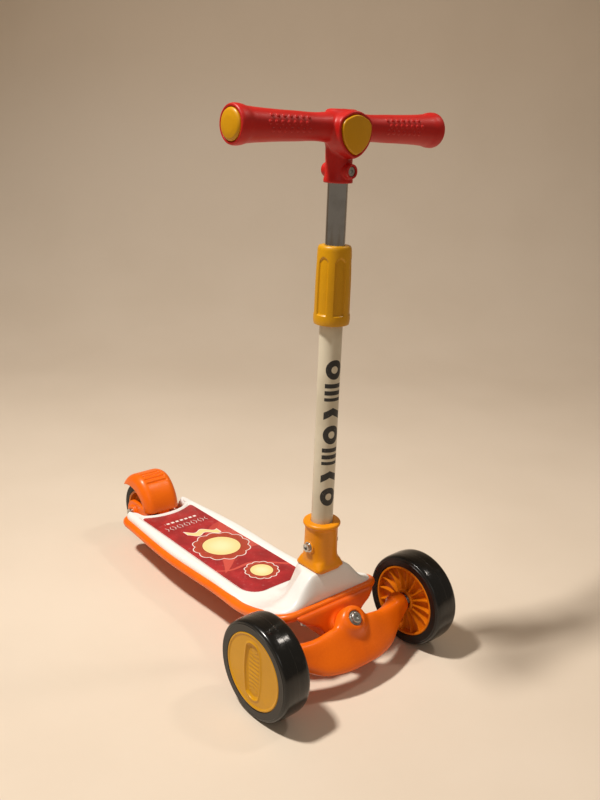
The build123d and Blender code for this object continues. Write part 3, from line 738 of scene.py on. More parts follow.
class Slot(Enum):
    """Material slots named in the record."""

    WHITE = "white_plastic"
    MAT = "grip_mat"
    ORANGE = "orange_plastic"
    AMBER = "amber_plastic"
    YELLOW = "yellow_plastic"
    RED = "red_plastic"
    TYRE = "black_tyre"
    PAINT = "white_paint"
    CHROME = "chrome_tube"


ORANGE = Moulded("orange_gloss", (0.92, 0.165, 0.0012), (0.82, 0.13, 0.001), 0.3, 0.012)
# A darker, redder copy of the orange plastic: painted shade for the nose bracket, which sits in shadow under
# the deck's nose.
SHADED_ORANGE = Moulded("orange_painted_shade", (0.84, 0.13, 0.0012), (0.74, 0.1, 0.001), 0.36)
AMBER = Moulded("amber_satin", (0.84, 0.3, 0.001), (0.74, 0.25, 0.001), 0.33)
HUB_AMBER = Moulded("amber_hub", (0.72, 0.2, 0.0015), (0.6, 0.15, 0.001), 0.34)
YELLOW = Moulded("yellow_satin", (0.64, 0.31, 0.0004), (0.57, 0.27, 0.0004), 0.34)
RED = Moulded("red_satin", (0.52, 0.009, 0.006), (0.44, 0.007, 0.005), 0.4, 0.03, 0.9, 0.03)
WHITE = Moulded("white_gloss", (0.88, 0.87, 0.85), (0.84, 0.83, 0.8), 0.28, 0.008, 0.8, 0.2)
BLACK = Moulded("black_satin", (0.02, 0.02, 0.02), (0.01, 0.01, 0.01), 0.42)
CHROME = Metal("chrome", (0.6, 0.6, 0.61), 0.06, (1, 1, 30))
ZINC = Metal("zinc_screw", (0.55, 0.54, 0.52), 0.28)
PAPER = Plaster("warm_paper", (0.76, 0.65, 0.53), (0.73, 0.62, 0.5))
BEARING = Metal("bearing_ring", (0.5, 0.5, 0.52), 0.2, (1, 12, 12))


# ------------------------------------------------------------------ sizes and the workshop
@dataclass(frozen=True)
class Sizes:
    """Driving sizes in millimetres, read from the CAD nodes' boxes."""

    axle_y: float
    front_r: float
    front_x: float
    front_half: float
    rear_y: float
    rear_r: float
    rear_half: float
    stem_y: float
    tube_r: float
    tube_high: float
    upper_r: float
    upper_high: float
    bar_y: float
    bar_z: float
    bar_half: float
    arm_end: float
    nose_y: float
    nose_half: float
    tail_y: float

    @classmethod
    def read(cls) -> Sizes:
        """Reads them from the frame.

        Returns:
            The sizes.
        """
        box = {n: tuple(np.array(c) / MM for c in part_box(n)) for n in (
            "front_tyre_left", "rear_tyre", "lower_tube", "upper_tube", "handlebar_body", "end_cap_left",
            "truck_arm", "deck_shell")}
        middle = {n: (low + high) / 2 for n, (low, high) in box.items()}
        axle_y = middle["front_tyre_left"][1]
        half = {n: (high - low) / 2 for n, (low, high) in box.items()}
        shell = box["deck_shell"]
        return cls(
            axle_y=axle_y,
            front_r=half["front_tyre_left"][2],
            front_x=middle["front_tyre_left"][0],
            front_half=half["front_tyre_left"][0],
            rear_y=middle["rear_tyre"][1] - axle_y,
            rear_r=half["rear_tyre"][2],
            rear_half=half["rear_tyre"][0],
            stem_y=middle["lower_tube"][1] - axle_y,
            tube_r=half["lower_tube"][0],
            tube_high=box["lower_tube"][1][2],
            upper_r=half["upper_tube"][0],
            upper_high=box["upper_tube"][1][2],
            bar_y=middle["end_cap_left"][1] - axle_y,
            bar_z=middle["end_cap_left"][2],
            bar_half=half["handlebar_body"][0],
            arm_end=half["truck_arm"][0],
            nose_y=shell[0][1] - axle_y,
            nose_half=half["deck_shell"][0],
            tail_y=middle["rear_tyre"][1] - axle_y - 22.0,
        )


@dataclass
class Workshop:
    """Turns surfaces into pieces that ride on the frame, and keeps one material for each finish."""

    sizes: Sizes
    paints: dict[str, bpy.types.Material] = field(default_factory=dict)

    def paint(self, finish: Finish) -> bpy.types.Material:
        """The finish's material, made once.

        Args:
            finish: The finish.

        Returns:
            The material.
        """
        if finish.name not in self.paints:
            self.paints[finish.name] = finish.make()
        return self.paints[finish.name]

    def solid(self, skin: Skin, name: str, finish: Finish, crease: float = 32.0) -> bpy.types.Object:
        """Makes a Blender object from a surface, merged, facing outwards and smooth up to a crease.

        Args:
            skin: The surface, in millimetres from the front axle.
            name: The piece's name.
            finish: Its finish.
            crease: Edges sharper than this many degrees stay sharp.

        Returns:
            The object, at the origin, with its place in its mesh.
        """
        mesh = bpy.data.meshes.new(name)
        points = (skin.points + np.array([0.0, self.sizes.axle_y, 0.0])) * MM
        mesh.from_pydata(points.tolist(), [], skin.quads.tolist())
        form = bmesh.new()
        form.from_mesh(mesh)
        bmesh.ops.remove_doubles(form, verts=form.verts, dist=2e-6)
        bmesh.ops.dissolve_degenerate(form, edges=form.edges, dist=1e-7)
        bmesh.ops.recalc_face_normals(form, faces=form.faces)
        form.to_mesh(mesh)
        form.free()
        mesh.shade_smooth()
        mesh.set_sharp_from_angle(angle=math.radians(crease))
        mesh.materials.append(self.paint(finish))
        piece = bpy.data.objects.new(name, mesh)
        bpy.context.scene.collection.objects.link(piece)
        return piece

    def publish(self, skin: Skin, name: str, body: str, slot: Slot, finish: Finish, nodes: Sequence[str] = (),
                crease: float = 32.0) -> bpy.types.Object:
        """Makes a piece that rides on a body and stands for some CAD nodes.

        Args:
            skin: The surface.
            name: The piece's name.
            body: The CAD body it rides on.
            slot: The record's material slot; not used.
            finish: The finish.
            nodes: CAD nodes that it replaces.
            crease: Edges sharper than this many degrees stay sharp.

        Returns:
            The object.
        """
        piece = self.solid(skin, name, finish, crease)
        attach(piece, body)
        if nodes:
            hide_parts(*nodes)
        LOG.info("%s: %d faces on %s", name, len(piece.data.polygons), body)
        return piece


# ------------------------------------------------------------------ deck
@dataclass
class Deck:
    """Orange tray with its rolled rim, white cover with the saddle, printed mat and fork arms."""

    shop: Workshop
    corner: float = 28.0
    lip: float = 7.0
    rim: float = 13.0
    tread: float = 62.6
    lobe_in: float = 34.0
    lobe_mid: float = 47.5
    hip: float = 61.0
    hip_y: float = 412.0
    notch: float = 402.5
    mat_half: float = 46.5
    mat_front: float = 124.0
    mat_back: float = 402.0
    overlap: float = 0.6
    bead: float = 6.4
    crown: float = 7.5
    knob: float = 11.5
    knob_end: float = 26.6
    barrel: float = 17.0
    barrel_reach: tuple[float, float] = (36.0, 14.5)
    columns: int = 121
    rows: int = 241

    def rim_top(self, y: Array) -> Array:
        """Height of the rim: a smooth line that falls from the nose and runs level to the tail."""
        return curve_through(y, (17, 60, 88, 120, 150, 190, 300, 420), (96, 83, 74, 66, 61.8, 59, 57.4, 56))

    def half_width(self, y: Array, inset: float) -> Array:
        """Half the deck's width: quarter circle in front, a smooth waist, and a rounded tail.

        Args:
            y: Places along Y.
            inset: How far inside the edge to read it.

        Returns:
            The half widths.
        """
        sizes = self.shop.sizes
        front, radius = sizes.nose_y + inset, self.corner - inset
        places, widths = (45, 105, 160, 300, self.hip_y), (sizes.nose_half, 79, 71, 70, self.hip)
        side = curve_through(y, places, widths) - inset
        nose = sizes.nose_half - self.corner + np.sqrt(np.maximum(radius**2 - (front + radius - y) ** 2, 0))
        share = np.clip((y - self.hip_y) / (sizes.tail_y - inset - self.hip_y), 0, 1)
        tail = self.lobe_mid + (self.hip - inset - self.lobe_mid) * np.sqrt(np.maximum(1 - share**2.4, 0))
        return np.where(y < front + radius, nose, np.where(y > self.hip_y, tail, side))

    def plan(self, inset: float) -> tuple[Array, Array]:
        """Places x and y of a grid over the deck, closer together near its edges.

        Args:
            inset: How far inside the rim's edge the grid ends.

        Returns:
            Two grids: x runs from side to side of each row, y from the nose to the notched tail.
        """
        sizes = self.shop.sizes
        u = np.sin(np.linspace(-1, 1, self.columns) * math.pi / 2)[None, :]
        v = (np.sin(np.linspace(-1, 1, self.rows) * math.pi / 2) + 1)[:, None] / 2
        tail = sizes.tail_y - inset
        root = tail - 14.0
        split = (self.lobe_in + inset) / float(self.half_width(np.array(root), inset))
        a = np.abs(u)
        bow = np.clip(a / split, 0, 1)
        hollow = self.notch - inset + (root - self.notch + inset) * (1 - np.sqrt(np.maximum(1 - bow**2.2, 0)))
        turn = 1 - np.clip((a - split) / (1 - split), 0, 1)
        lobe = root + (tail - root) * np.sqrt(np.maximum(1 - turn**2, 0))
        end = np.where(a < split, hollow, lobe)
        y = sizes.nose_y + inset + v * (end - sizes.nose_y - inset)
        return u * self.half_width(y, inset), y

    @staticmethod
    def edge_distance(x: Array, y: Array, reach: int) -> Array:
        """Distance from each grid point to the grid's own edge, worked out in a band of reach points.

        Args:
            x: Places along X.
            y: Places along Y.
            reach: Width of the band, in grid points.

        Returns:
            The distances; large outside the band.
        """
        edge = np.concatenate([
            np.stack([x[0], y[0]], -1), np.stack([x[1:, -1], y[1:, -1]], -1),
            np.stack([x[-1, -2::-1], y[-1, -2::-1]], -1), np.stack([x[-2:0:-1, 0], y[-2:0:-1, 0]], -1)])
        span = np.roll(edge, -1, 0) - edge
        band = np.ones(x.shape, bool)
        band[reach:-reach, reach:-reach] = False
        spots = np.stack([x[band], y[band]], -1)
        found = []
        for part in np.array_split(spots, 12):
            rel = part[:, None] - edge
            t = np.clip((rel * span).sum(-1) / (span**2).sum(-1), 0, 1)
            found.append(np.sqrt(((rel - t[..., None] * span) ** 2).sum(-1)).min(1))
        distance = np.full(x.shape, 1e3)
        distance[band] = np.concatenate(found)
        return distance

    def mat_edge(self, x: Array, y: Array) -> Array:
        """Distance to the mat's outline, negative inside: a rounded oblong with a bow cut from its back.

        Args:
            x: Places along X.
            y: Places along Y.

        Returns:
            The distances.
        """
        middle, half = (self.mat_front + self.mat_back) / 2, (self.mat_back - self.mat_front) / 2
        radius = np.where(y < middle, 24.0, 8.0)
        waist = self.mat_half - 2.5 * ease((y - 150) / 250)
        a, b = np.abs(x) - waist + radius, np.abs(y - middle) - half + radius
        oblong = np.hypot(np.maximum(a, 0), np.maximum(b, 0)) + np.minimum(np.maximum(a, b), 0) - radius
        return shared(oblong, 77.0 - np.hypot(x, y - 463.0), 7.0)

    def cover_top(self, x: Array, y: Array) -> Array:
        """Height of the cover: level tread, rising nose, raised border, and the saddle's two humps.

        The saddle is a crest times two falls: one behind and before the stem, one to each side.

        Args:
            x: Places along X.
            y: Places along Y.

        Returns:
            The heights.
        """
        side = np.abs(x)
        nose = 1 - ease((y - 52) / 74)
        base = self.tread + (self.rim_top(y) + 4 - self.tread) * nose
        border = 3.0 * ease((self.mat_edge(x, y) + 0.5) / 6.0) * ease((y - 60) / 60)
        crest = 127.4 - 3 * np.exp(-((x / 17) ** 2)) * ease((30 - y) / 10)
        back = self.shop.sizes.stem_y + 20 * (1 - ease((side - 16) / 14))
        behind = np.exp(-((np.maximum(y - back, 0) / 15) ** 1.3))
        before = ease((y - 17) / 15.5)
        across = (1 - ease((side - 24) / 48)) ** 1.5
        return base + border + np.maximum(crest - base, 0) * behind * before * across

    def cover_foot(self, x: Array, y: Array) -> Array:
        """Height of the cover's lower edge, a little below the rim's top."""
        return self.rim_top(y) - 4.4 + 0 * x

    def rounded_slab(self, inset: float, top: Callable[[Array, Array], Array],
                     bottom: Callable[[Array, Array], Array], crown: float, keel: float) -> Skin:
        """A slab over the deck's plan with its upper and lower edges rounded to quarter circles.

        Args:
            inset: How far inside the rim's edge it ends.
            top: Height of its top at x, y.
            bottom: Height of its underside.
            crown: Radius of the upper edge.
            keel: Radius of the lower edge.

        Returns:
            The closed surface: top and underside share their edge points through a side wall.
        """
        x, y = self.plan(inset)
        distance = self.edge_distance(x, y, 22)
        fall = [r - np.sqrt(np.maximum(r * r - (r - np.minimum(distance, r)) ** 2, 0)) for r in (crown, keel)]
        upper = np.stack([x, y, top(x, y) - fall[0]], -1)
        lower = np.stack([x, y, bottom(x, y) + fall[1]], -1)
        walls = [sheet(np.stack([upper[s], lower[s]])) for s in
                 (np.s_[0, :], np.s_[-1, :], np.s_[:, 0], np.s_[:, -1])]
        return joined([sheet(upper), sheet(lower), *walls])

    def underside(self, x: Array, y: Array) -> Array:
        """Height of the tray's underside: flat, with shallow pockets between cross ribs and spines.

        Args:
            x: Places along X.
            y: Places along Y.

        Returns:
            The heights.
        """
        rib = 2.0 - np.abs((y - 160 + 20) % 40 - 20)
        spine = 2.0 - np.minimum(np.abs(x), np.abs(np.abs(x) - 30))
        border = np.abs(x) - self.half_width(y, 14.0)
        ends = np.maximum(150 - y, y - 384)
        solid = np.maximum.reduce([rib, spine, border, ends])
        pocket = 1 - ease(solid / 1.2 + 1)
        return self.rim_top(y) - self.rim + 4.0 * pocket

    def tray_top(self, x: Array, y: Array) -> Array:
        """Height of the tray's top: the rolled rim, and a floor under the cover.

        Args:
            x: Places along X.
            y: Places along Y.

        Returns:
            The heights.
        """
        inner = self.half_width(y, self.lip + 2.0) - np.abs(x)
        floor = np.minimum(inner, y - self.shop.sizes.nose_y - self.lip - 2)
        return self.rim_top(y) - 5.0 * ease(floor / 2.0)

    def mat(self) -> Skin:
        """The mat: its outline found along rays from its middle, then drawn in towards that middle.

        Returns:
            The closed surface.
        """
        angle = np.linspace(0, math.tau, 480, endpoint=False)
        middle = np.array([0.0, 255.0])
        near, far = np.zeros(angle.shape), np.full(angle.shape, 170.0)
        for _ in range(32):
            half = (near + far) / 2
            outside = self.mat_edge(middle[0] + half * np.cos(angle), middle[1] + half * np.sin(angle)) > 0
            near, far = np.where(outside, near, half), np.where(outside, half, far)
        low, high = self.tread - 1.0, self.tread + 1.15
        rows = [(1.0, high, 0.0), (1.0, high, 0.5), (0.0, high, 0.4), (0.0, high - 0.12, 0.12),
                (0.0, high - 0.4, 0.0), (0.0, low, 0.0), (1.0, low, 0.0)]
        shrink, height, inset = (np.array(c)[:, None] for c in zip(*rows))
        ray = np.where(shrink > 0, inset * near[None, :] * 0.98, near[None, :] - inset)
        points = np.stack([middle[0] + ray * np.cos(angle), middle[1] + ray * np.sin(angle),
                           np.broadcast_to(height, ray.shape)], -1)
        return sheet(points, False, True)

    def fork(self, p: Array) -> Array:
        """Two flat arms from the tail to the rear axle: a bar that widens to a round boss, with a knob.

        Args:
            p: Points, with their x, y and z last.

        Returns:
            The distance, negative inside.
        """
        sizes = self.shop.sizes
        side = np.abs(p[..., 0])
        y, z = p[..., 1], p[..., 2]
        share = np.clip((y - 400) / (sizes.rear_y - 400), 0, 1)
        spine = np.hypot(y - 400 - share * (sizes.rear_y - 400), z - 49.5 + 4.5 * share)
        blade = corner(spine - (7.5 + 11.5 * ease(share)), np.abs(side - 18.7) - 3.7, 1.6)
        ends = ((x, sizes.rear_y, sizes.rear_r) for x in (20, self.knob_end))
        knob = rod(np.stack([side, y, z], -1), *ends, self.knob, 1.5)
        return meld(blade, knob, 1.5)

    def bracket(self, p: Array) -> Array:
        """Nose bracket: a wedge shared by sloping faces, with a round steering barrel.

        Args:
            p: Points, with their x, y and z last.

        Returns:
            The distance, negative inside.
        """
        x, y, z = np.abs(p[..., 0]), p[..., 1], p[..., 2]
        flank = (x - 19 - (z - 46) * 1.05) * 0.69
        front = (9 - y) + np.abs(z - 62) * 0.35 - 6.0
        under = (46.5 - z) + np.maximum(y - 40, 0) * 0.45
        top = z - self.rim_top(y) + 5.5
        wedge = shared(shared(flank, front, 6), shared(shared(under, top, 3), y - 72, 8), 6)
        wedge = carve(wedge, np.hypot(x / 26 - 2.05, (z - 48) / 24 - 0.15) * 22 - 22, 5)
        low, high = (np.array(PIVOT) - np.array(LEAN) * down for down in self.barrel_reach)
        return meld(wedge, rod(p, low, high, self.barrel, 1.5), 6)

    def build(self) -> None:
        """Makes the deck's pieces."""
        shop = self.shop
        tray = self.rounded_slab(0.0, self.tray_top, self.underside, self.bead, self.bead)
        shop.publish(tray, "deck_tray", "deck", Slot.ORANGE, ORANGE, ["deck_shell"])
        fork = grown(self.fork, (-30, 388, 20), (30, 484, 70), 1.0)
        shop.publish(fork, "fork_arms", "deck", Slot.ORANGE, ORANGE)
        cover = self.rounded_slab(self.lip - self.overlap, self.cover_top, self.cover_foot, self.crown, 0.5)
        shop.publish(cover, "tread_cover", "deck", Slot.WHITE, WHITE, ["deck_cover", "nose_cover"], 60.0)
        mat = MatPrint("mat_print", shop.sizes.axle_y)
        shop.publish(self.mat(), "printed_mat", "deck", Slot.MAT, mat, ["deck_mat"])
        bracket = grown(self.bracket, (-72, -4, 38), (72, 84, 104), 1.4)
        # The nose bracket gets the darker copy of the orange: painted shade.
        shop.publish(bracket, "nose_wedge", "deck", Slot.ORANGE, SHADED_ORANGE, ["nose_bracket"], 50.0)


# ------------------------------------------------------------------ stem
@dataclass
class Stem:
    """Collar with its square foot, the two tubes and the twist-lock sleeve."""

    shop: Workshop
    foot: float = 112.0
    collar_top: float = 187.0
    sleeve_low: float = 429.0
    sleeve_high: float = 516.0
    tube_wall: float = 1.5
    flutes: int = 6
    bolt_z: float = 156.0

    def squared(self, rows: Sequence[Sequence[float]], turns: int = 160) -> Skin:
        """A turned form whose section goes from round to square.

        The radius at an angle is R divided by the n-norm of its cosine and sine, so n = 2 is a circle.

        Args:
            rows: Height, R and n of each ring, from one end to the other; R is 0 at both ends.
            turns: Points round each ring.

        Returns:
            The closed surface.
        """
        height, size, power = (np.asarray(c)[:, None] for c in zip(*rows))
        angle = np.linspace(0, math.tau, turns, endpoint=False)[None, :]
        norm = (np.abs(np.cos(angle)) ** power + np.abs(np.sin(angle)) ** power) ** (1 / power)
        radius = size / norm
        points = np.stack([radius * np.cos(angle), radius * np.sin(angle) + self.shop.sizes.stem_y,
                           np.broadcast_to(height, radius.shape)], -1)
        return sheet(points, False, True)

    def collar(self) -> Skin:
        """Square foot with a stepped flare, round body and a rolled lip, open round the tube.

        Returns:
            The closed surface.
        """
        bore = self.shop.sizes.tube_r + 0.3
        rows = [(self.foot, 0, 9), (self.foot, 18.6, 9), (127.6, 18.7, 9), (128.2, 19.4, 9), (128.5, 21.0, 9),
                (129.0, 21.5, 9), (130.0, 21.5, 8), (131.4, 21.4, 8), (132.6, 20.9, 7), (137, 19.7, 5),
                (138.6, 19.9, 3), (141, 20.1, 2.3), (147, 20.2, 2), (160, 20.1, 2), (177, 19.9, 2),
                (179.6, 20.1, 2), (181.0, 20.6, 2), (182.0, 21.9, 2), (183.2, 22.6, 2), (184.4, 22.7, 2),
                (185.8, 22.2, 2), (186.7, 21.2, 2), (self.collar_top, 20, 2),
                (self.collar_top, bore + 0.8, 2), (186.5, bore, 2), (174, bore, 2), (174, 0, 2)]
        return self.squared(rows)

    def sleeve(self) -> Skin:
        """Twist-lock sleeve: flutes with arched tops are pressed into a slightly tapered drum.

        Returns:
            The closed surface.
        """
        bore = self.shop.sizes.tube_r + 0.3
        low, high = self.sleeve_low, self.sleeve_high
        z = np.concatenate([low + np.array([0, 0, 0.3, 1.2, 2.6, 4]), np.linspace(low + 6, high - 4, 78),
                            high - np.array([2.4, 1.1, 0.3, 0, 0, 6, 6])])
        drum = curve_through(z, (429, 433, 442, 500, 507, 512), (19.9, 20.5, 20.4, 19.4, 19.0, 18.7))
        drum[:3] = (bore, 19.2, 19.8)
        drum[0] = 0.0
        drum[-7:] = (18.4, 17.9, 17.2, 16.2, self.shop.sizes.upper_r + 0.4, self.shop.sizes.upper_r + 0.4, 0)
        turn = np.linspace(0, math.tau, 288, endpoint=False)[None, :]
        place = (turn * self.flutes / math.tau + 1 / 3) % 1.0 - 0.5
        arch = 505.0 - 5.0 * (np.abs(place) / 0.31) ** 2
        rise = ease((z[:, None] - 440.0) / 1.6) * ease((arch - z[:, None]) / 2.4)
        flute = ease((0.335 - np.abs(place)) / 0.07)
        ring = (z[:, None] > 436) & (z[:, None] < 511)
        radius = drum[:, None] - 1.7 * flute * rise * ring
        points = np.stack([radius * np.cos(turn), radius * np.sin(turn) + self.shop.sizes.stem_y,
                           np.broadcast_to(z[:, None], radius.shape)], -1)
        return sheet(points, False, True)

    def build(self) -> None:
        """Makes the stem's pieces."""
        shop, sizes = self.shop, self.shop.sizes
        foot = (0.0, sizes.stem_y, 0.0)
        shop.publish(self.collar(), "collar", "deck", Slot.AMBER, AMBER, ["stem_collar"])
        boss = rounded([(-16, 0), (-16, 9.2), (-20.3, 8.2), (-20.3, 0)], 0.7)
        pads = turned(boss, "x", (0, sizes.stem_y, self.bolt_z))
        shop.publish(joined([pads, pads.mirrored()]), "collar_pads", "deck", Slot.AMBER, AMBER)
        r, high = sizes.tube_r, sizes.tube_high
        bore, stop = r - self.tube_wall, high - 30
        lower = rounded([(129, 0), (129, r), (high, r), (high, bore), (stop, bore), (stop, 0)], 0.4)
        paint = TubePaint("ivory_paint", sizes.stem_y + sizes.axle_y, r)
        shop.publish(turned(lower, "z", foot), "painted_tube", "deck", Slot.PAINT, paint, ["lower_tube"])
        shop.publish(self.sleeve(), "twist_sleeve", "lock_sleeve", Slot.YELLOW, YELLOW, ["lock_sleeve"])
        r, high = sizes.upper_r, sizes.upper_high
        upper = rounded([(300, 0), (300, r), (high, r), (high, 0)], 0.5)
        post = turned(upper, "z", foot)
        shop.publish(post, "chrome_post", "handlebar", Slot.CHROME, CHROME, ["upper_tube"])


# ------------------------------------------------------------------ handlebar
@dataclass
class Handlebar:
    """Red T-shaped moulding with its grips, the shield badge and the end caps."""

    shop: Workshop
    neck_low: float = 582.0
    neck_high: float = 655.0
    clamp_z: float = 594.6
    badge_z: float = 632.0
    badge_y: float = 24.0
    pod: float = 4.2
    seat: float = 1.6
    cap_r: float = 15.6

    def shield_radius(self, rise: Array) -> Array:
        """Badge radius at an angle of rise above level: a smooth line through eleven radii."""
        knots = np.radians([-90, -72, -50, -25, 0, 15, 27, 38, 55, 75, 90])
        return curve_through(rise, knots, (20.6, 19.3, 18.3, 18.6, 19.6, 21.0, 22.0, 21.6, 19.9, 19.2, 19.1))

    def shield(self, grow: float, turns: int = 160) -> tuple[Array, Array]:
        """Badge outline as x and height about its middle, moved out by grow.

        Args:
            grow: How far to move it out.
            turns: Points round it.

        Returns:
            Its x and its heights.
        """
        angle = np.linspace(-math.pi / 2, math.pi * 1.5, turns, endpoint=False)
        rise = math.pi / 2 - np.abs(((angle - math.pi / 2 + math.pi) % math.tau) - math.pi)
        radius = self.shield_radius(rise) + grow
        return radius * np.cos(angle), radius * np.sin(angle)

    def shield_distance(self, x: Array, up: Array) -> Array:
        """Rough distance to the badge outline, from its polar radius."""
        return np.hypot(x, up) - self.shield_radius(np.arctan2(up, np.abs(x)))

    def form(self, p: Array) -> Array:
        """The moulding: waisted grips and a neck melded with a wide fillet, a pod, and two bolt bosses.

        Args:
            p: Points, with their x, y and z last.

        Returns:
            The distance, negative inside.
        """
        sizes = self.shop.sizes
        x, y, z = np.abs(p[..., 0]), p[..., 1], p[..., 2]
        grip = curve_through(x, (0, 20, 36, 47, 60, 86, 104, 120, 128, 133, 137, 141, 143.5),
                             (15.4, 15.2, 14.1, 14.1, 14.6, 15.2, 15.9, 16.8, 17.6, 18.9, 19.4, 19.3, 18.6))
        bar = corner(x - sizes.bar_half, np.hypot(y - sizes.bar_y, z - sizes.bar_z) - grip, 1.2)
        width = curve_through(z, (582, 585.5, 588, 612, 630, 655), (15.7, 15.7, 15.1, 14.8, 15.6, 15.6))
        round_neck = np.hypot(p[..., 0], y - sizes.stem_y) - width
        neck = corner(round_neck, np.maximum(self.neck_low - z, z - self.neck_high), 1.0)
        whole = meld(bar, neck, 9.0)
        outline = self.shield_distance(p[..., 0], z - self.badge_z)
        face = outline - self.pod + 0.06 * np.maximum(34 - y, 0)
        pod = corner(face, np.maximum(self.badge_y - y, y - 46), 1.8)
        whole = meld(whole, pod, 2.6)
        boss = rod(p, (0, sizes.stem_y - 21.6, self.clamp_z), (0, sizes.stem_y + 20, self.clamp_z), 7.8, 1.2)
        whole = meld(whole, boss, 1.8)
        whole = carve(whole, rod(p, (0, 10, self.clamp_z), (0, 32.4, self.clamp_z), 5.3, 0.3), 0.8)
        badge_room = corner(outline - 0.5, y - self.badge_y - 1.4, 0.3)
        whole = carve(whole, badge_room, 0.9)
        pocket = np.hypot(y - sizes.bar_y, z - sizes.bar_z) - self.cap_r - 0.4
        return carve(whole, corner(pocket, sizes.bar_half - self.seat - x, 0.3), 1.0)

    def badge(self) -> Skin:
        """The badge: rings drawn in from the outline, crowned forward by a parabola.

        Returns:
            The closed surface.
        """
        x, up = self.shield(-0.1)
        share = np.concatenate([np.linspace(0, 0.9, 16), [0.94, 0.965, 0.985, 0.996, 1.0, 1.0, 0.0]])[:, None]
        edge = np.array([0.0] * 16 + [0.05, 0.2, 0.55, 1.1, 1.7, 4.2, 4.2])[:, None]
        y = self.badge_y - 1.9 - 1.6 * (1 - share**2) * (edge < 4) + edge
        points = np.stack([x * share, np.broadcast_to(y, share.shape) + 0 * x, up * share + self.badge_z], -1)
        return sheet(points, False, True)

    def bumps(self) -> Skin:
        """Grip bumps: low domes in staggered rows along the front and top of each grip.

        Returns:
            The surface of all the bumps.
        """
        sizes = self.shop.sizes
        row, column = (g.ravel() for g in np.meshgrid(np.arange(3), np.arange(7), indexing="ij"))
        x = 56.0 + 8.0 * column + 4.0 * (row % 2)
        turn = np.radians(52.0 + 26.0 * row)
        radius = curve_through(x, (47, 60, 86, 104, 120), (14.1, 14.6, 15.2, 15.9, 16.8)) - 0.35
        out = np.stack([0 * turn, -np.sin(turn), np.cos(turn)], -1)
        side = np.stack([0 * turn, np.cos(turn), np.sin(turn)], -1)
        at = np.stack([x, sizes.bar_y + radius * out[:, 1], sizes.bar_z + radius * out[:, 2]], -1)
        lift, width = np.array([-0.8, -0.1, 0.7, 1.15, 1.35]), np.array([2.8, 2.7, 2.15, 1.2, 0.0])
        angle = np.linspace(0, math.tau, 14, endpoint=False)
        spread = width[:, None, None] * np.stack([np.cos(angle), np.sin(angle)], -1)[None]
        domes = at[:, None, None] + lift[None, :, None, None] * out[:, None, None]
        domes = domes + spread[None, ..., :1] * np.array([1.0, 0, 0])
        domes = domes + spread[None, ..., 1:] * side[:, None, None]
        base = sheet(domes[0], False, True)
        quads = base.quads[None] + np.arange(len(domes))[:, None, None] * len(base.points)
        right = Skin(domes.reshape(-1, 3), quads.reshape(-1, 4))
        return joined([right, right.mirrored()])

    def build(self) -> None:
        """Makes the handlebar's pieces."""
        shop, sizes = self.shop, self.shop.sizes
        low = (-sizes.bar_half - 3, sizes.bar_y - 26, self.neck_low - 4)
        high = (sizes.bar_half + 3, sizes.bar_y + 26, sizes.bar_z + 24)
        shop.publish(grown(self.form, low, high, 1.15), "red_bar", "handlebar", Slot.RED, RED,
                     ["handlebar_body"], 60.0)
        shop.publish(self.bumps(), "grip_bumps", "handlebar", Slot.RED, RED)
        shop.publish(self.badge(), "shield_badge", "handlebar", Slot.YELLOW, YELLOW, ["front_badge"], 50.0)
        seat = sizes.bar_half - self.seat
        dome = rounded([(seat - 8, 0), (seat - 8, 8.8), (seat, 8.8), (seat, 15.5), (seat + 2.0, 15.3),
                        (seat + 3.5, 13.2), (seat + 4.5, 8), (seat + 4.8, 0)], 1.6, steps=6)
        cap = turned(dome, "x", (0, sizes.bar_y, sizes.bar_z))
        shop.publish(cap, "cap_left", "handlebar", Slot.YELLOW, YELLOW, ["end_cap_left"], 45.0)
        shop.publish(cap.mirrored(), "cap_right", "handlebar", Slot.YELLOW, YELLOW, ["end_cap_right"], 45.0)


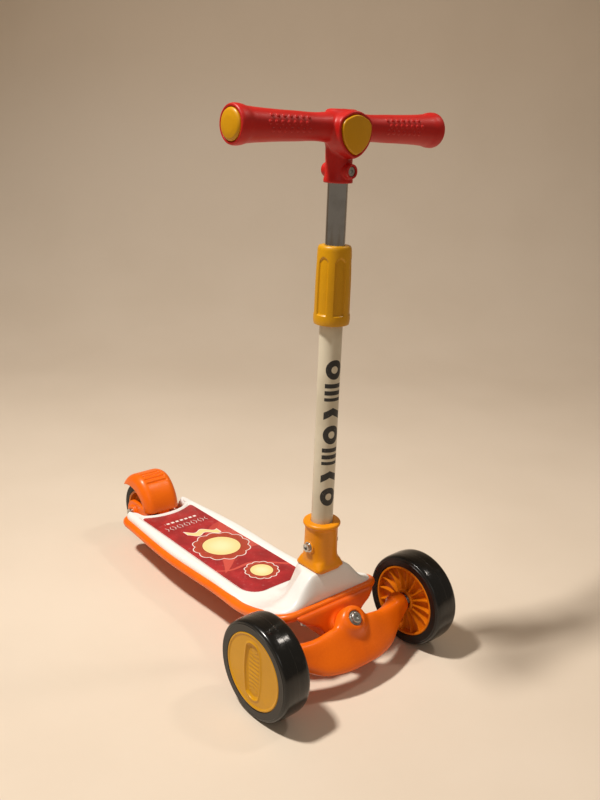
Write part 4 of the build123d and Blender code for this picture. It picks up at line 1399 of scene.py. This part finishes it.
# ------------------------------------------------------------------ truck and wheels
@dataclass
class Truck:
    """Orange crescent arm with the steering boss in its middle and a knuckle at each end."""

    shop: Workshop
    boss: float = 13.6
    boss_low: float = 14.0
    boss_high: float = 7.4
    screw_seat: float = 6.6
    knuckle: float = 12.5

    def form(self, p: Array) -> Array:
        """A flattened bar whose section, place and lean follow smooth lines in x, with boss and knuckles.

        Args:
            p: Points, with their x, y and z last.

        Returns:
            The distance, negative inside.
        """
        sizes = self.shop.sizes
        x, y, z = np.abs(p[..., 0]), p[..., 1], p[..., 2]
        knots = (0, 28, 55, 80, 97)
        middle_y = curve_through(x, knots, (-24.5, -23, -17, -6, 0))
        middle_z = curve_through(x, knots, (54, 53, 51, 55.5, 60))
        tall = curve_through(x, knots, (27, 26, 21.5, 15.5, 12.8))
        thick = curve_through(x, knots, (7, 7, 8.5, 11.6, 12.6))
        lean = np.radians(curve_through(x, knots, (32, 32, 30, 20, 0)))
        dy, dz = y - middle_y, z - middle_z
        along, across = dy * np.sin(lean) + dz * np.cos(lean), dy * np.cos(lean) - dz * np.sin(lean)
        power = 3.6
        norm = ((np.abs(along) / tall) ** power + (np.abs(across) / thick) ** power + 1e-9) ** (1 / power)
        blade = shared((norm - 1) * thick, x - 97, 3)
        ends = rod(np.stack([x, y, z], -1), (84, 0, sizes.front_r), (sizes.arm_end, 0, sizes.front_r),
                   self.knuckle, 1.5)
        foot, lean_dir = np.array(PIVOT), np.array(LEAN)
        boss = rod(p, foot - lean_dir * self.boss_low, foot + lean_dir * self.boss_high, self.boss, 3.5)
        whole = meld(meld(blade, ends, 5), boss, 14)
        behind = (p - foot) @ lean_dir + self.boss_low
        keep_clear = corner(rod(p, foot - lean_dir * 90, foot, self.boss + 4, 0.5), behind, 0.5)
        whole = carve(whole, keep_clear, 1.5)
        recess = rod(p, foot + lean_dir * self.screw_seat, foot + lean_dir * 30, 9.2, 0.3)
        return carve(whole, recess, 1.2)

    def build(self) -> None:
        """Makes the truck's piece."""
        end = self.shop.sizes.arm_end
        skin = grown(self.form, (-end - 3, -46, 18), (end + 3, 18, 104), 1.3)
        self.shop.publish(skin, "truck_band", "truck", Slot.ORANGE, ORANGE, ["truck_arm"], 50.0)


@dataclass
class FrontWheel:
    """One broad front wheel, drawn on the rider's left and mirrored for the right."""

    shop: Workshop
    ribs: int = 16
    panel: float = 35.0
    panel_r: float = 13.5

    def tyre(self) -> Skin:
        """Tyre: crowned tread, a fine step at the shoulder and a flat sidewall ring.

        Returns:
            The closed surface.
        """
        half, r = self.shop.sizes.front_half, self.shop.sizes.front_r
        side = [(half - 0.4, 46.3), (half, 47.0), (half - 0.15, 53.6), (half, 54.8), (half - 0.9, 55.3),
                (half - 0.8, 56.4), (half - 2.0, r - 1.9), (half - 5.0, r - 0.7), (half - 11, r - 0.15)]
        line = side + [(-x, radius) for x, radius in reversed(side)]
        line = line + [(-12, 46.2), (-12, 43.6), (12, 43.6), (12, 46.2)]
        profile = rounded(line, 1.4, True)
        return turned(profile, "x", (self.shop.sizes.front_x, 0, r), True, 160)

    def hub(self) -> Skin:
        """Inner side of the hub: dished panels between thin ribs, inside a rim and round a boss.

        Each of the sectors has the same columns: a few across the rib, in millimetres, and the rest
        spread evenly over the panel. Depth is a rib term plus a panel term.

        Returns:
            The closed surface.
        """
        sizes = self.shop.sizes
        a = sizes.front_x - sizes.front_half
        radius = np.array([14.5, 14.9, 15.6, 17, 20, 24, 28, 32, 36, 39, 41, 42.2, 42.9])[:, None]
        wall = np.array([-1.1, -0.95, -0.6, 0.6, 0.95, 1.1])
        rib = np.array([0.0, 0.75, 1.0, 1.0, 0.75, 0.0])
        sector = math.tau / self.ribs
        start, end = wall[-1] / radius, sector + wall[0] / radius
        share = np.linspace(0, 1, 8)[1:-1]
        offset = np.concatenate([wall / radius, start + (end - start) * share], 1)
        rise = np.concatenate([rib, 0 * share])[None, :]
        dish = np.concatenate([0 * rib, np.sin(share * math.pi)])[None, :]
        top = 2.2 + 1.6 * ease((radius - 15) / 12) - 1.8 * ease((radius - 34) / 8)
        floor = 8.2 + 0.0 * radius
        hollow = 1.1 * dish * ease((radius - 15) / 4) * ease((42.6 - radius) / 3)
        depth = floor + (top - floor) * rise + hollow
        turn = (np.arange(self.ribs) * sector)[None, :, None] + offset[:, None, :]
        angle, x = turn.reshape(len(radius), -1), np.tile(depth, (1, self.ribs)) + a
        web = np.stack([x, radius * np.cos(angle), radius * np.sin(angle) + sizes.front_r], -1)
        front = sheet(web, False, True)
        line = [(a + depth_in, r) for depth_in, r in (
            (10.6, 14.5), (10.6, 42.9), (11, 44), (1.3, 46.15), (0.5, 45.4), (0.6, 43.3), (1.4, 42.9),
            (10, 42.7), (10, 14.7), (1.8, 14.4), (1.3, 13.8), (1.3, 11.1), (10.6, 11.1))]
        frame = turned(rounded(line, 0.4, True), "x", (0, 0, sizes.front_r), True, 160)
        back = web.copy()
        back[..., 0] = a + 10.4
        rims = [sheet(np.stack([web[i], back[i]]), False, True) for i in (0, -1)]
        return joined([frame, joined([front, sheet(back, False, True), *rims])])

    def cap(self) -> Skin:
        """Hub cap: a raised ring round a face with a sunken stadium panel that carries plain ribs.

        Rings run out from the panel's middle line, as lines at a distance from it, and then turn
        steadily into circles.

        Returns:
            The closed surface.
        """
        sizes = self.shop.sizes
        b = sizes.front_x + sizes.front_half
        turn = np.linspace(0, math.tau, 240, endpoint=False)[None, :]
        out = np.array([0.01, 3, 5.5, 8, 9.6, 10.6, 11.2, 11.7, 12.2, 13.0, 13.5, 13.9, 14.3, 15, 16, 17.0])
        out = out[:, None]
        lift = np.array([0, 0, 0, 0, 0, 0, 0.1, 0.5, 0.8, 1.2, 2.2, 2.8, 2.9, 2.7, 2.0, 1.9])[:, None] - 2.9
        spine = (self.panel - self.panel_r) * np.clip(np.sin(turn) * 1.6, -1, 1)
        inner_y, inner_z = out * np.cos(turn), out * np.sin(turn) + spine
        ribs = 0.7 * ease((np.cos(inner_z * math.tau / 5.2) + 0.25) / 0.7) * ease((9.6 - out) / 1.5)
        circles = np.array([38.0, 40, 42.0, 42.9, 43.3, 43.8, 44.6, 45.2, 45.7, 46.1, 46.1, 30, 0.0])[:, None]
        steps = np.array([0, 0, 0, 0.1, 0.5, 0.85, 0.95, 0.9, 0.6, 0.0, -2.4, -2.4, -2.4])[:, None] - 1.0
        steady = np.array([0.15, 0.32, 0.5, 0.68, 0.85])[:, None]
        ring_y, ring_z = circles[0] * np.cos(turn), circles[0] * np.sin(turn)
        mid_y = inner_y[-1:] * (1 - steady) + ring_y * steady
        mid_z = inner_z[-1:] * (1 - steady) + ring_z * steady
        y = np.concatenate([inner_y, mid_y, circles * np.cos(turn)])
        z = np.concatenate([inner_z, mid_z, circles * np.sin(turn)])
        flat = np.broadcast_to(np.array([-1.0]), (5, 1))
        x = np.concatenate([lift + ribs, flat + 0 * turn, steps + 0 * turn])
        return sheet(np.stack([x + b, y, z + sizes.front_r], -1), False, True)

    def build(self) -> None:
        """Makes both front wheels."""
        shop, sizes = self.shop, self.shop.sizes
        rubber = Rubber("front_rubber", sizes.axle_y, sizes.front_r, sizes.front_r, sizes.front_x)
        tyre, hub, cap = self.tyre(), self.hub(), self.cap()
        for side in ("left", "right"):
            body = f"front_wheel_{side}"
            shop.publish(tyre, f"tyre_{side}", body, Slot.TYRE, rubber, [f"front_tyre_{side}"])
            shop.publish(hub, f"hub_{side}", body, Slot.AMBER, HUB_AMBER, [f"front_hub_{side}"], 40.0)
            shop.publish(cap, f"wheel_cap_{side}", body, Slot.YELLOW, YELLOW, [f"hub_cap_{side}"], 60.0)
            tyre, hub, cap = (skin.mirrored() for skin in (tyre, hub, cap))


@dataclass
class RearWheel:
    """Narrow rear wheel."""

    shop: Workshop

    def build(self) -> None:
        """Makes its tyre and its dished hub."""
        shop, sizes = self.shop, self.shop.sizes
        h, r = sizes.rear_half, sizes.rear_r
        centre = (0, sizes.rear_y, r)
        side = [(h - 0.3, 32.2), (h, 33), (h, 40), (h - 1.2, r - 2.4), (h - 4, r - 0.9), (5, r)]
        line = rounded(side + [(-x, radius) for x, radius in reversed(side)], 1.2, True)
        rubber = Rubber("rear_rubber", sizes.rear_y + sizes.axle_y, r, r, 0.0, 0.34)
        tyre = turned(line, "x", centre, True)
        shop.publish(tyre, "tyre_rear", "rear_wheel", Slot.TYRE, rubber, ["rear_tyre"])
        side = [(h - 0.4, 32.0), (h - 0.5, 28.6), (2.4, 27.4), (2.2, 16.2), (h - 1.2, 14.5), (h - 1, 11.1),
                (h - 8, 11.0), (h - 8, 8.6)]
        line = rounded(side + [(-x, radius) for x, radius in reversed(side)], 0.8, True)
        hub = turned(line, "x", centre, True)
        shop.publish(hub, "hub_rear", "rear_wheel", Slot.AMBER, HUB_AMBER, ["rear_hub"])


@dataclass
class Brake:
    """Domed fender over the rear wheel, with anti-slip grooves across its crown."""

    shop: Workshop
    half: float = 29.0
    skin: float = 3.0
    edge: float = 13.0
    middle_y: float = 446.0
    middle_z: float = 66.0
    arch: float = 46.5
    groove_pitch: float = 6.6
    groove_depth: float = 1.9

    def dome(self, p: Array, inset: float) -> Array:
        """Solid dome: a polar line in side view, rounded over to its flat flanks.

        Args:
            p: Points, with their x, y and z last.
            inset: How far inside its full size to read it.

        Returns:
            The distance, negative inside.
        """
        across, y, z = np.abs(p[..., 0]), p[..., 1] - self.middle_y, p[..., 2] - self.middle_z
        turn = np.degrees(np.arctan2(z, y))
        turn = np.where(turn < -90, turn + 360, turn)
        radius = curve_through(turn, (-40, 0, 27, 45, 61, 78, 90, 105, 122, 140, 160, 185, 215),
                               (47, 46.5, 46.3, 46, 45.8, 45.7, 45.6, 44.8, 42.6, 41.2, 41.2, 43.2, 46))
        return corner(np.hypot(y, z) - radius + inset, across - self.half + inset, self.edge - inset)

    def form(self, p: Array) -> Array:
        """Shell between two domes, cut by an arch round the axle, with crown grooves and a hinge lug.

        Args:
            p: Points, with their x, y and z last.

        Returns:
            The distance, negative inside.
        """
        y, z = p[..., 1], p[..., 2]
        floor = curve_through(y, (400, 436, 446, 462, 480, 490), (62, 62, 64, 74, 83.5, 88))
        outer = self.dome(p, 0.0)
        waves = np.clip(np.cos((y - 426.0) * math.tau / self.groove_pitch) - 0.1, 0, 1)
        waves = waves * ease((19 - np.abs(p[..., 0])) / 3)
        window = ease((y - 422) / 2) * ease((450 - y) / 2) * ease((z - 92) / 5)
        outer = outer + self.groove_depth * waves * window
        shell = carve(outer, self.dome(p, self.skin), 0.5)
        shell = shared(shell, (floor - z) * 0.9, 1.2)
        sizes = self.shop.sizes
        shell = carve(shell, np.hypot(y - sizes.rear_y, z - sizes.rear_r) - self.arch, 1.0)
        lug = corner(np.abs(p[..., 0]) - 9, np.maximum(np.abs(y - 408.6) - 4.2, np.abs(z - 56) - 10.5), 1.0)
        return meld(shell, lug, 1.2)

    def build(self) -> None:
        """Makes the fender."""
        skin = grown(self.form, (-32, 398, 42), (32, 496, 118), 0.9)
        self.shop.publish(skin, "fender", "brake", Slot.ORANGE, ORANGE, ["brake_fender"], 50.0)


# ------------------------------------------------------------------ CAD pieces that stay, and the studio
def dress_hardware(shop: Workshop, nodes: Mapping[str, bpy.types.Object]) -> None:
    """Gives every CAD node that stays in sight a finish of its own.

    Args:
        shop: The workshop.
        nodes: The CAD nodes by name.
    """
    finishes = {
        "split_collet": BLACK, "tube_plug": BLACK, "brake_pad": BLACK, "pivot_bush": BLACK,
        "front_bearings_left": BEARING, "front_bearings_right": BEARING, "rear_bearings": BEARING,
    }
    for name, node in nodes.items():
        if node.hide_render:
            continue
        paint = shop.paint(finishes.get(name, ZINC))
        node.data.materials.clear()
        node.data.materials.append(paint)
        LOG.info("%s keeps its CAD shape", name)


@dataclass
class Studio:
    """Seamless backdrop, soft lamps and the camera."""

    shop: Workshop
    eye: tuple[float, float, float] = (-0.6443, -0.8593, 0.6429)
    heading: float = -41.3
    pitch: float = 18.01
    roll: float = 2.13
    lens: float = 38.58

    def axes(self) -> tuple[Vector, Vector, Vector]:
        """The camera's right, up and backward directions, worked out from heading, pitch and roll.

        Returns:
            The three values or directions.
        """
        a, e, t = (math.radians(v) for v in (self.heading, self.pitch, self.roll))
        level = Vector((math.cos(a), math.sin(a), 0))
        back = Vector((math.sin(a) * math.cos(e), -math.cos(a) * math.cos(e), math.sin(e)))
        upright = back.cross(level)
        right = level * math.cos(t) + upright * math.sin(t)
        return right, upright * math.cos(t) - level * math.sin(t), back

    def camera(self) -> None:
        """Makes the camera."""
        data = bpy.data.cameras.new("view")
        data.lens, data.sensor_width = self.lens, 36.0
        data.clip_start, data.clip_end = 0.05, 30.0
        eye = bpy.data.objects.new("view", data)
        turn = Matrix(self.axes()).transposed().to_4x4()
        eye.matrix_world = Matrix.Translation(self.eye) @ turn
        bpy.context.scene.collection.objects.link(eye)
        bpy.context.scene.camera = eye

    def backdrop(self) -> None:
        """Makes the floor and wall: one profile, flat, a quarter circle and upright, carried sideways."""
        a = math.radians(self.heading)
        ahead, side = np.array([-math.sin(a), math.cos(a), 0]), np.array([math.cos(a), math.sin(a), 0])
        bend = np.linspace(0, math.pi / 2, 24)
        start, radius = 1100.0, 900.0
        run = np.concatenate([[-6000.0, -2500.0, 0.0], start + radius * np.sin(bend), [start + radius]])
        rise = np.concatenate([[0.0, 0.0, 0.0], radius * (1 - np.cos(bend)), [5200.0]])
        across = np.linspace(-5200, 5200, 9)
        points = (run[:, None, None] * ahead + across[None, :, None] * side
                  + rise[:, None, None] * np.array([0, 0, 1.0]))
        skin = sheet(points - np.array([0, self.shop.sizes.axle_y, 0]))
        skin.quads = skin.quads[:, ::-1]
        self.shop.solid(skin, "backdrop", PAPER, 60)

    def lamp(
        self, name: str, spot: Vector, power: float, size: float, colour: Colour, spread: float = 180.0,
    ) -> None:
        """Makes a square area lamp that faces the scooter's middle.

        Args:
            name: The lamp's name.
            spot: Its place, in metres.
            power: Its power in watts.
            size: Its side, in metres.
            colour: Its colour.
            spread: How wide its beam is, in degrees.
        """
        data = bpy.data.lights.new(name, "AREA")
        data.energy, data.size, data.color, data.spread = power, size, colour, math.radians(spread)
        lamp = bpy.data.objects.new(name, data)
        lamp.location = spot
        lamp.rotation_euler = (Vector((0, 0, 0.25)) - spot).to_track_quat("-Z", "Y").to_euler()
        bpy.context.scene.collection.objects.link(lamp)

    def build(self) -> None:
        """Makes the studio."""
        self.camera()
        self.backdrop()
        self.lamp("key", Vector((-1.05, 0.33, 2.6)), 26.0, 0.24, (1.0, 0.95, 0.88), 105.0)
        self.lamp("window", Vector((1.25, -0.8, 2.3)), 3.0, 0.25, (1.0, 0.9, 0.8), 120.0)
        self.lamp("front", Vector((-1.6, -2.2, 1.9)), 5.0, 1.2, (1.0, 0.94, 0.88))
        world = bpy.data.worlds.new("room")
        world.use_nodes = True
        shade = world.node_tree.nodes["Background"]
        shade.inputs["Color"].default_value = (1.0, 0.83, 0.64, 1)
        shade.inputs["Strength"].default_value = 0.2
        bpy.context.scene.world = world
        bpy.context.scene.view_settings.view_transform = "Standard"


def main() -> None:
    """Builds the scooter round its frame, assembly by assembly."""
    logging.basicConfig(level=logging.INFO, format="%(name)s %(message)s")
    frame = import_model()
    shop = Workshop(Sizes.read())
    for assembly in (Studio, Deck, Stem, Handlebar, Truck, FrontWheel, RearWheel, Brake):
        assembly(shop).build()
        LOG.info("%s is built", assembly.__name__)
    dress_hardware(shop, frame["nodes"])


if __name__ == "__main__":
    main()
